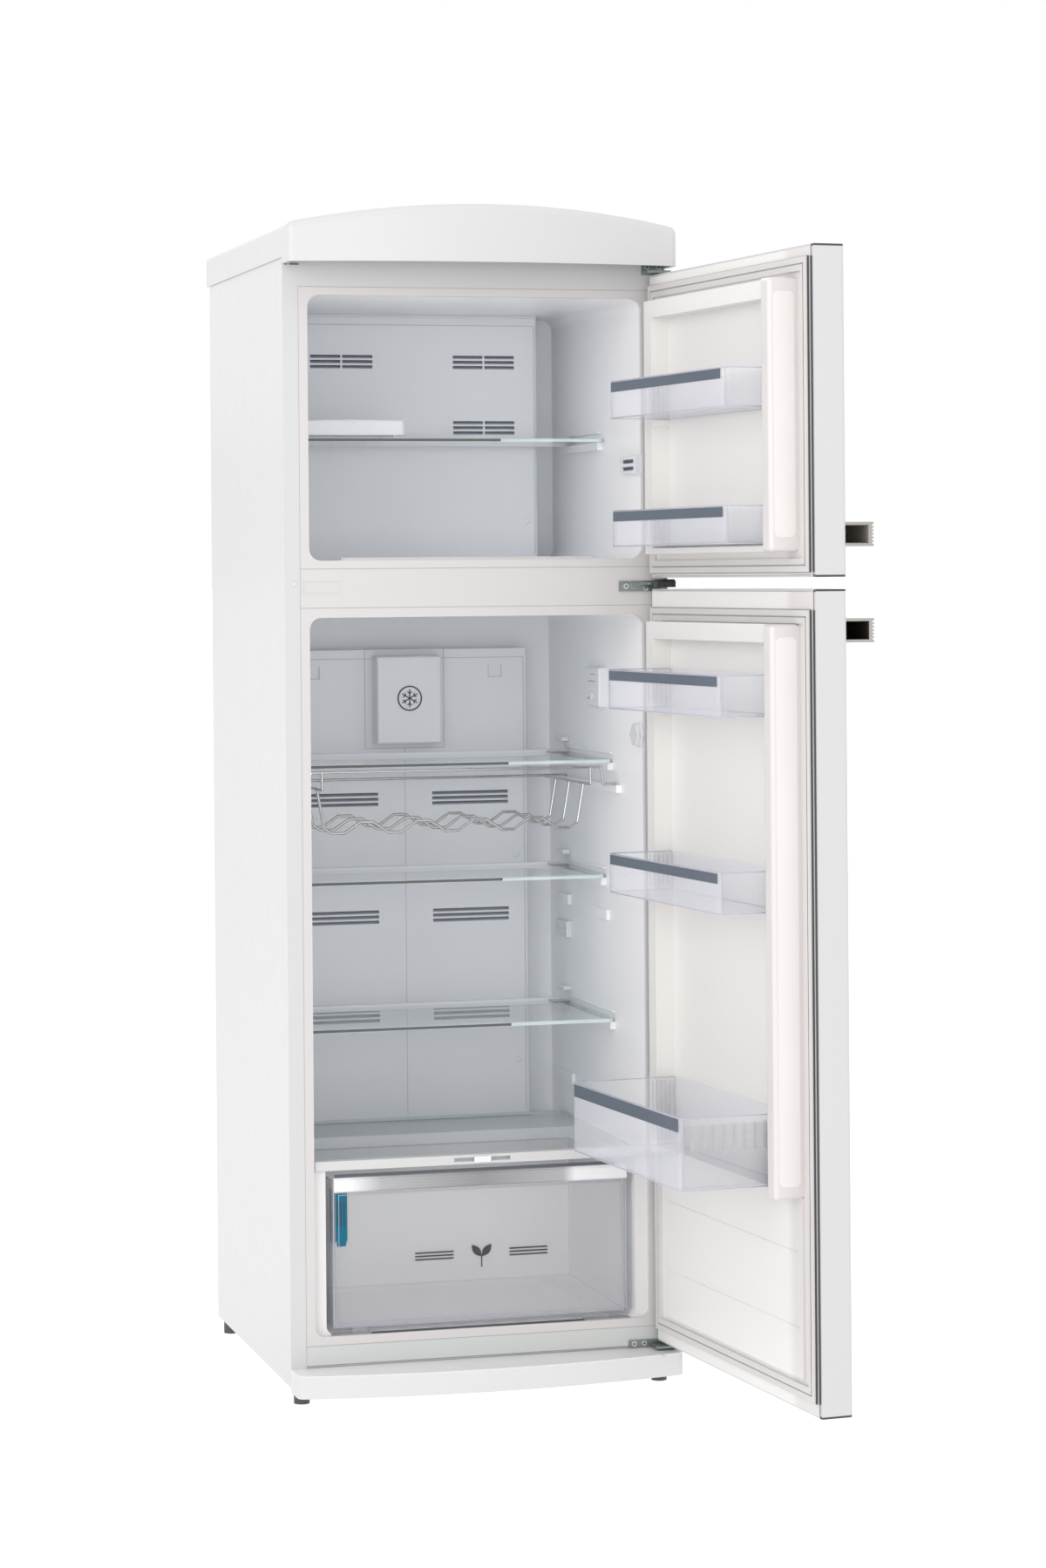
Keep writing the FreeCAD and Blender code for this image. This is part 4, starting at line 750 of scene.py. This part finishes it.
def add_drawer_lines():
    """Ribs of the front strip, moulded border, rims and corner lines of the drawer."""
    for index in range(3):
        z = 319 + index * 4.4
        # The ribs take the strip's painted reflection.
        rib = [(-229, -285.5, z), (229, -285.5, z)]
        tube(f"strip_rib_{index}", rib, 0.45, "strip_silver", "drawer")
    border = [(-222, -280.3, 116), (222, -280.3, 116), (222, -280.3, 309), (-222, -280.3, 309)]
    tube("drawer_border", border, 0.9, "clear_edge", "drawer", closed=True)
    for name, z in (("rim", 330), ("base", 109)):
        ring = [(-230, -279, z), (230, -279, z), (230, 39, z), (-230, 39, z)]
        tube(f"drawer_{name}_line", ring, 1.1, "clear_edge", "drawer", closed=True)
    for index, (x, y) in enumerate(((-229.6, -278.6), (229.6, -278.6), (-229.6, 38.6), (229.6, 38.6))):
        corner = [(x, y, 110), (x, y, 329)]
        tube(f"drawer_corner_{index}", corner, 1.0, "clear_edge", "drawer")


def add_drawer_print():
    """Two plain leaves on a stem, between two sets of three lines."""
    near, far = DRAWER_PRINT
    for index, tilt in enumerate((-0.7, 0.7)):
        outline = leaf_outline((0, 205), 24, 5.6, math.pi / 2 + tilt)
        prism(f"leaf_{index}", outline, "Y", near, far, "print_grey", "drawer", "clear_plastic", bevel=0.0)
    marks = [((-0.9, near, 189), (0.9, far, 206))]
    for low in (-104, 44):
        marks += [((low, near, z), (low + 60, far, z + 2.2)) for z in (204, 209, 214)]
    blocks("leaf_lines", marks, "print_grey", "drawer", bevel=0.1)


def add_cartridge_details():
    """Blue tag on the drawer's front with its blank marks, and the cartridge's ribs."""
    tag = [((-227, -280.8, 240), (-209, -280.2, 311)), ((-225, -280.8, 232), (-211, -280.2, 240))]
    blocks("cartridge_tag", tag, "blue_plastic", "drawer", bevel=0.2)
    marks = [((x, -281.0, 262), (x + 1.6, -280.7, 300)) for x in (-224.5, -219.5, -214.5)]
    blocks("cartridge_marks", marks, "print_blue", "drawer", bevel=0.1)
    ribs = [((-226, -268.7, 240 + 3.4 * k), (-206.5, -267.8, 241.6 + 3.4 * k)) for k in range(5)]
    blocks("cartridge_ribs", ribs, "blue_plastic", "drawer", bevel=0.4)


def add_drawer_gaps():
    """Painted shade above and below the drawer and over its runners' ends, and the slider's grips."""
    above = [((-229, -284.6, 336.4), (214, -283.4, 341.0))]
    blocks("strip_gap_shade", above, "duct_shade", "cabinet", bevel=0.2)
    below = [((-175, -293.2, 100.2), (160, -281, 101.0))]
    blocks("drawer_gap_shade", below, "duct_shade", "cabinet", bevel=0.2)
    sides = [((-236, -293.4, 100.2), (-175, -274, 101.2)), ((160, -293.4, 100.2), (232, -274, 101.2))]
    sides += [((x, -278.4, 100.4), (x + 24, -276.2, 106.3)) for x in (-202, 178)]
    blocks("drawer_gap_side_shade", sides, "seam_and_shade_line", "cabinet", bevel=0.2)
    grips = [((-9 + 5 * k, -293.1, 352), (-7.4 + 5 * k, -292.3, 358)) for k in range(4)]
    blocks("slider_grips", grips, "white_plastic", "humidity_slider", bevel=0.3)


# ---- door details ----

def bin_front(half, front):
    """Corner points of a bin's plan, from its back left to its back right."""
    back, cut = -297, 9
    ease = cut * 0.3
    left = [(-half, back), (-half, front - cut), (-half + ease, front - ease), (-half + cut, front)]
    return left + [(-x, y) for x, y in reversed(left)]


# Name, half width, front, underside, rim and height of the tinted band of each door bin.
BINS = (
    ("freezer_balcony_upper", 219, -201.5, 1475, 1531, 16),
    ("freezer_balcony_lower", 219, -203.5, 1283, 1337, 16),
    ("fridge_balcony_upper", 216, -193.5, 1040, 1099, 16),
    ("fridge_balcony_middle", 215, -192.5, 764, 823, 16),
    ("bottle_bin", 213, -131, 380, 482, 20),
)


def bin_line(bin_name, part, points, radius, closed=False):
    """A bright moulded line on a door bin."""
    tube(f"{bin_name}_{part}", points, radius, "clear_edge", bin_name, DOOR, closed=closed)


def add_bins():
    """Rims, corner lines, tinted bands and hanger ribs of the five door bins."""
    for name, half, front, low, high, band in BINS:
        plan = bin_front(half - 0.9, front - 0.9)
        bin_line(name, "rim", [(x, y, high - 0.3) for x, y in plan], 1.0)
        bin_line(name, "base_line", [(x, y, low + 1.1) for x, y in plan], 1.0, closed=True)
        for index, x in enumerate((-half + 3.2, half - 3.2)):
            bin_line(name, f"corner_{index}", [(x, front - 3.2, low + 2), (x, front - 3.2, high - 1)], 0.9)
            bin_line(name, f"heel_{index}", [(x, -296.6, low + 2), (x, -296.6, high - 1)], 0.8)
        stripe = [((-half + 11, front - 0.2, high - band), (half - 11, front + 0.6, high - 1.6))]
        blocks(f"{name}_band", stripe, "band_plastic", name, DOOR, 0.3)
        ribs = []
        for y in range(-289, -254, 7):
            ribs.append(((half - 3.4, y, low + 8), (half - 2.3, y + 1.4, high - 4)))
        blocks(f"{name}_ribs", ribs, "clear_edge", name, DOOR, 0.3)


def add_seals():
    """Painted shade in the folds of each door's seal: dark on its free side, with the gap by the skin's
    edge, and paler on its other sides.
    """
    for door, (low, high) in (("freezer_door", (1243, 1682)), ("fridge_door", (87, 1190))):
        groove = ring_strips((-282.4, 282.4), (low + 8.6, high - 8.6), 1.8, (-297.25, -296.2))
        edge = ring_strips((-292.3, 292.3), (low - 1.4, high + 1.4), 1.2, (-301.6, -299.4))
        lip = ring_strips((-273.8, 273.8), (low + 17.6, high - 17.6), 0.9, (-300.2, -299.2))
        folds = [
            ((-283.6, -296.3, low + 8.6), (-279.6, -295.4, high - 8.6)),
            ((-292.2, -301.4, low), (-291.1, -297.4, high)),
            ((-297.0, -302.8, low), (-295.5, -300.6, high)),
        ]
        blocks(f"{door}_seal_shade_dark", folds, "dark_line", door, DOOR, 0.2)
        pale = groove[1:] + edge[1:] + lip
        blocks(f"{door}_seal_shade_pale", pale, "seam_and_shade_line", door, DOOR, 0.2)


def add_door_panels():
    """Shallow moulded fields on the free-side dykes of both doors."""
    for door, (low, high) in (("freezer_door", (1292, 1636)), ("fridge_door", (384, 1152))):
        outline = [
            (-295, low + 5), (-290, low), (-268, low), (-263, low + 5),
            (-263, high - 5), (-268, high), (-290, high), (-295, high - 5),
        ]
        slab = ("X", -252.5, -251.9)
        prism(f"{door}_dyke_field", outline, *slab, "dyke_plastic", door, "liner_plastic", DOOR, 0.2)


def add_cap_details():
    """Painted shade: small dark corner pieces at the free ends of both doors."""
    for door, levels in (("freezer_door", (1236.2, 1695.2)), ("fridge_door", (66.7, 1215.2))):
        boxes = [((-299.6, -306.5, z), (-293.5, -302.4, z + 3.4)) for z in levels]
        blocks(f"{door}_cap_corner_shade", boxes, "dark_line", door, DOOR, 0.5)


def add_handle_details():
    """Lining of each handle's finger well: two long walls, an end wall, a floor and a roof; the freezer
    door's is a paler copy with painted light, the fridge door's a darker copy with painted shade.
    """
    free, far, half = -286, -162, 12.9
    for door, middle, painted_copy in (("freezer_door", 1295.5, "well_painted_light"), ("fridge_door", 1161, "well_painted_shade")):
        low, high = middle - half, middle + half
        lining = [
            ((free, -352.5, low), (far, -351.7, high)), ((far - 1, -389, low), (far, -352, high)),
            ((free, -389.8, low), (far, -389.0, high)), ((free, -389, low), (far, -352, low + 0.7)),
            ((free, -389, high - 0.7), (far, -352, high)),
        ]
        blocks(f"{door}_handle_lining", lining, painted_copy, door, DOOR, 0.2)


# ---- stage ----

FLOOR_REACH = 400
LIGHTS = (
    ("key_light", (-3.4, -3.2, 2.4), 2.6, 50),
    ("fill_light", (-0.6, -6.0, 1.3), 1.6, 36),
    ("top_light", (0.0, -1.0, 4.6), 3.2, 14),
    ("back_light", (0.5, 4.0, 3.0), 3.0, 30),
)
LIGHT_AIM = Vector((0, -0.1, 0.95))


def make_floor():
    """Pale floor that meets the white surroundings far away."""
    corners = [(x * FLOOR_REACH, y * FLOOR_REACH, 0) for x, y in ((-1, -1), (1, -1), (1, 1), (-1, 1))]
    mesh = bpy.data.meshes.new("floor")
    mesh.from_pydata(corners, [], [(0, 1, 2, 3)])
    mesh.materials.append(MATERIALS["floor"])
    floor = bpy.data.objects.new("floor", mesh)
    bpy.context.scene.collection.objects.link(floor)


def make_lights():
    """White surroundings and four soft lamps, shown with plain display colours."""
    bpy.context.scene.view_settings.view_transform = "Standard"
    world = bpy.data.worlds.new("studio")
    bpy.context.scene.world = world
    world.use_nodes = True
    world.node_tree.nodes["Background"].inputs["Color"].default_value = (1, 1, 1, 1)
    world.node_tree.nodes["Background"].inputs["Strength"].default_value = 1.0
    for name, place, size, power in LIGHTS:
        lamp = bpy.data.lights.new(name, "AREA")
        lamp.size, lamp.energy = size, power
        holder = bpy.data.objects.new(name, lamp)
        holder.location = place
        aim = LIGHT_AIM - Vector(place)
        holder.rotation_euler = aim.to_track_quat("-Z", "Y").to_euler()
        bpy.context.scene.collection.objects.link(holder)


CAMERA_PLACE = Vector((-1458.85, -5910.28, 1243.5)) * MM
CAMERA_YAW, CAMERA_PITCH, CAMERA_ROLL = 15.23, -0.177, -0.468
# Lens and sensor in millimetres, and the upward framing as a share of the sensor's height.
SENSOR, LENS, FRAMING = 36, 87.735742, -0.12642023


def make_camera():
    """The camera, turned and shifted to frame the object as photographed."""
    lens = bpy.data.cameras.new("camera")
    lens.sensor_fit = "VERTICAL"
    lens.sensor_height = SENSOR
    lens.lens = LENS
    lens.shift_y = FRAMING
    lens.clip_start, lens.clip_end = 0.1, 1000
    yaw, pitch, roll = (math.radians(angle) for angle in (CAMERA_YAW, CAMERA_PITCH, CAMERA_ROLL))
    ahead = Vector((math.sin(yaw) * math.cos(pitch), math.cos(yaw) * math.cos(pitch), math.sin(pitch)))
    level = Vector((math.cos(yaw), -math.sin(yaw), 0))
    up = level.cross(ahead)
    right = math.cos(roll) * level + math.sin(roll) * up
    top = math.cos(roll) * up - math.sin(roll) * level
    camera = bpy.data.objects.new("camera", lens)
    camera.matrix_world = Matrix((
        (right.x, top.x, -ahead.x, CAMERA_PLACE.x),
        (right.y, top.y, -ahead.y, CAMERA_PLACE.y),
        (right.z, top.z, -ahead.z, CAMERA_PLACE.z),
        (0, 0, 0, 1),
    ))
    bpy.context.scene.collection.objects.link(camera)
    bpy.context.scene.camera = camera


make_shell_finishes()
make_metal_finishes()
make_dark_finishes()
make_line_finishes()
make_clear_finishes()
dress_nodes()
add_seams()
add_hinge_details()
add_kick_details()
add_machine_cover()
add_rear_panel()
add_machine_room()
add_louvres()
add_duct_details()
add_badge()
add_wall_fittings()
add_wall_supports()
add_shelf_trim()
add_tray_details()
add_drawer_lines()
add_drawer_print()
add_cartridge_details()
add_drawer_gaps()
add_bins()
add_seals()
add_door_panels()
add_cap_details()
add_handle_details()
make_floor()
make_lights()
make_camera()
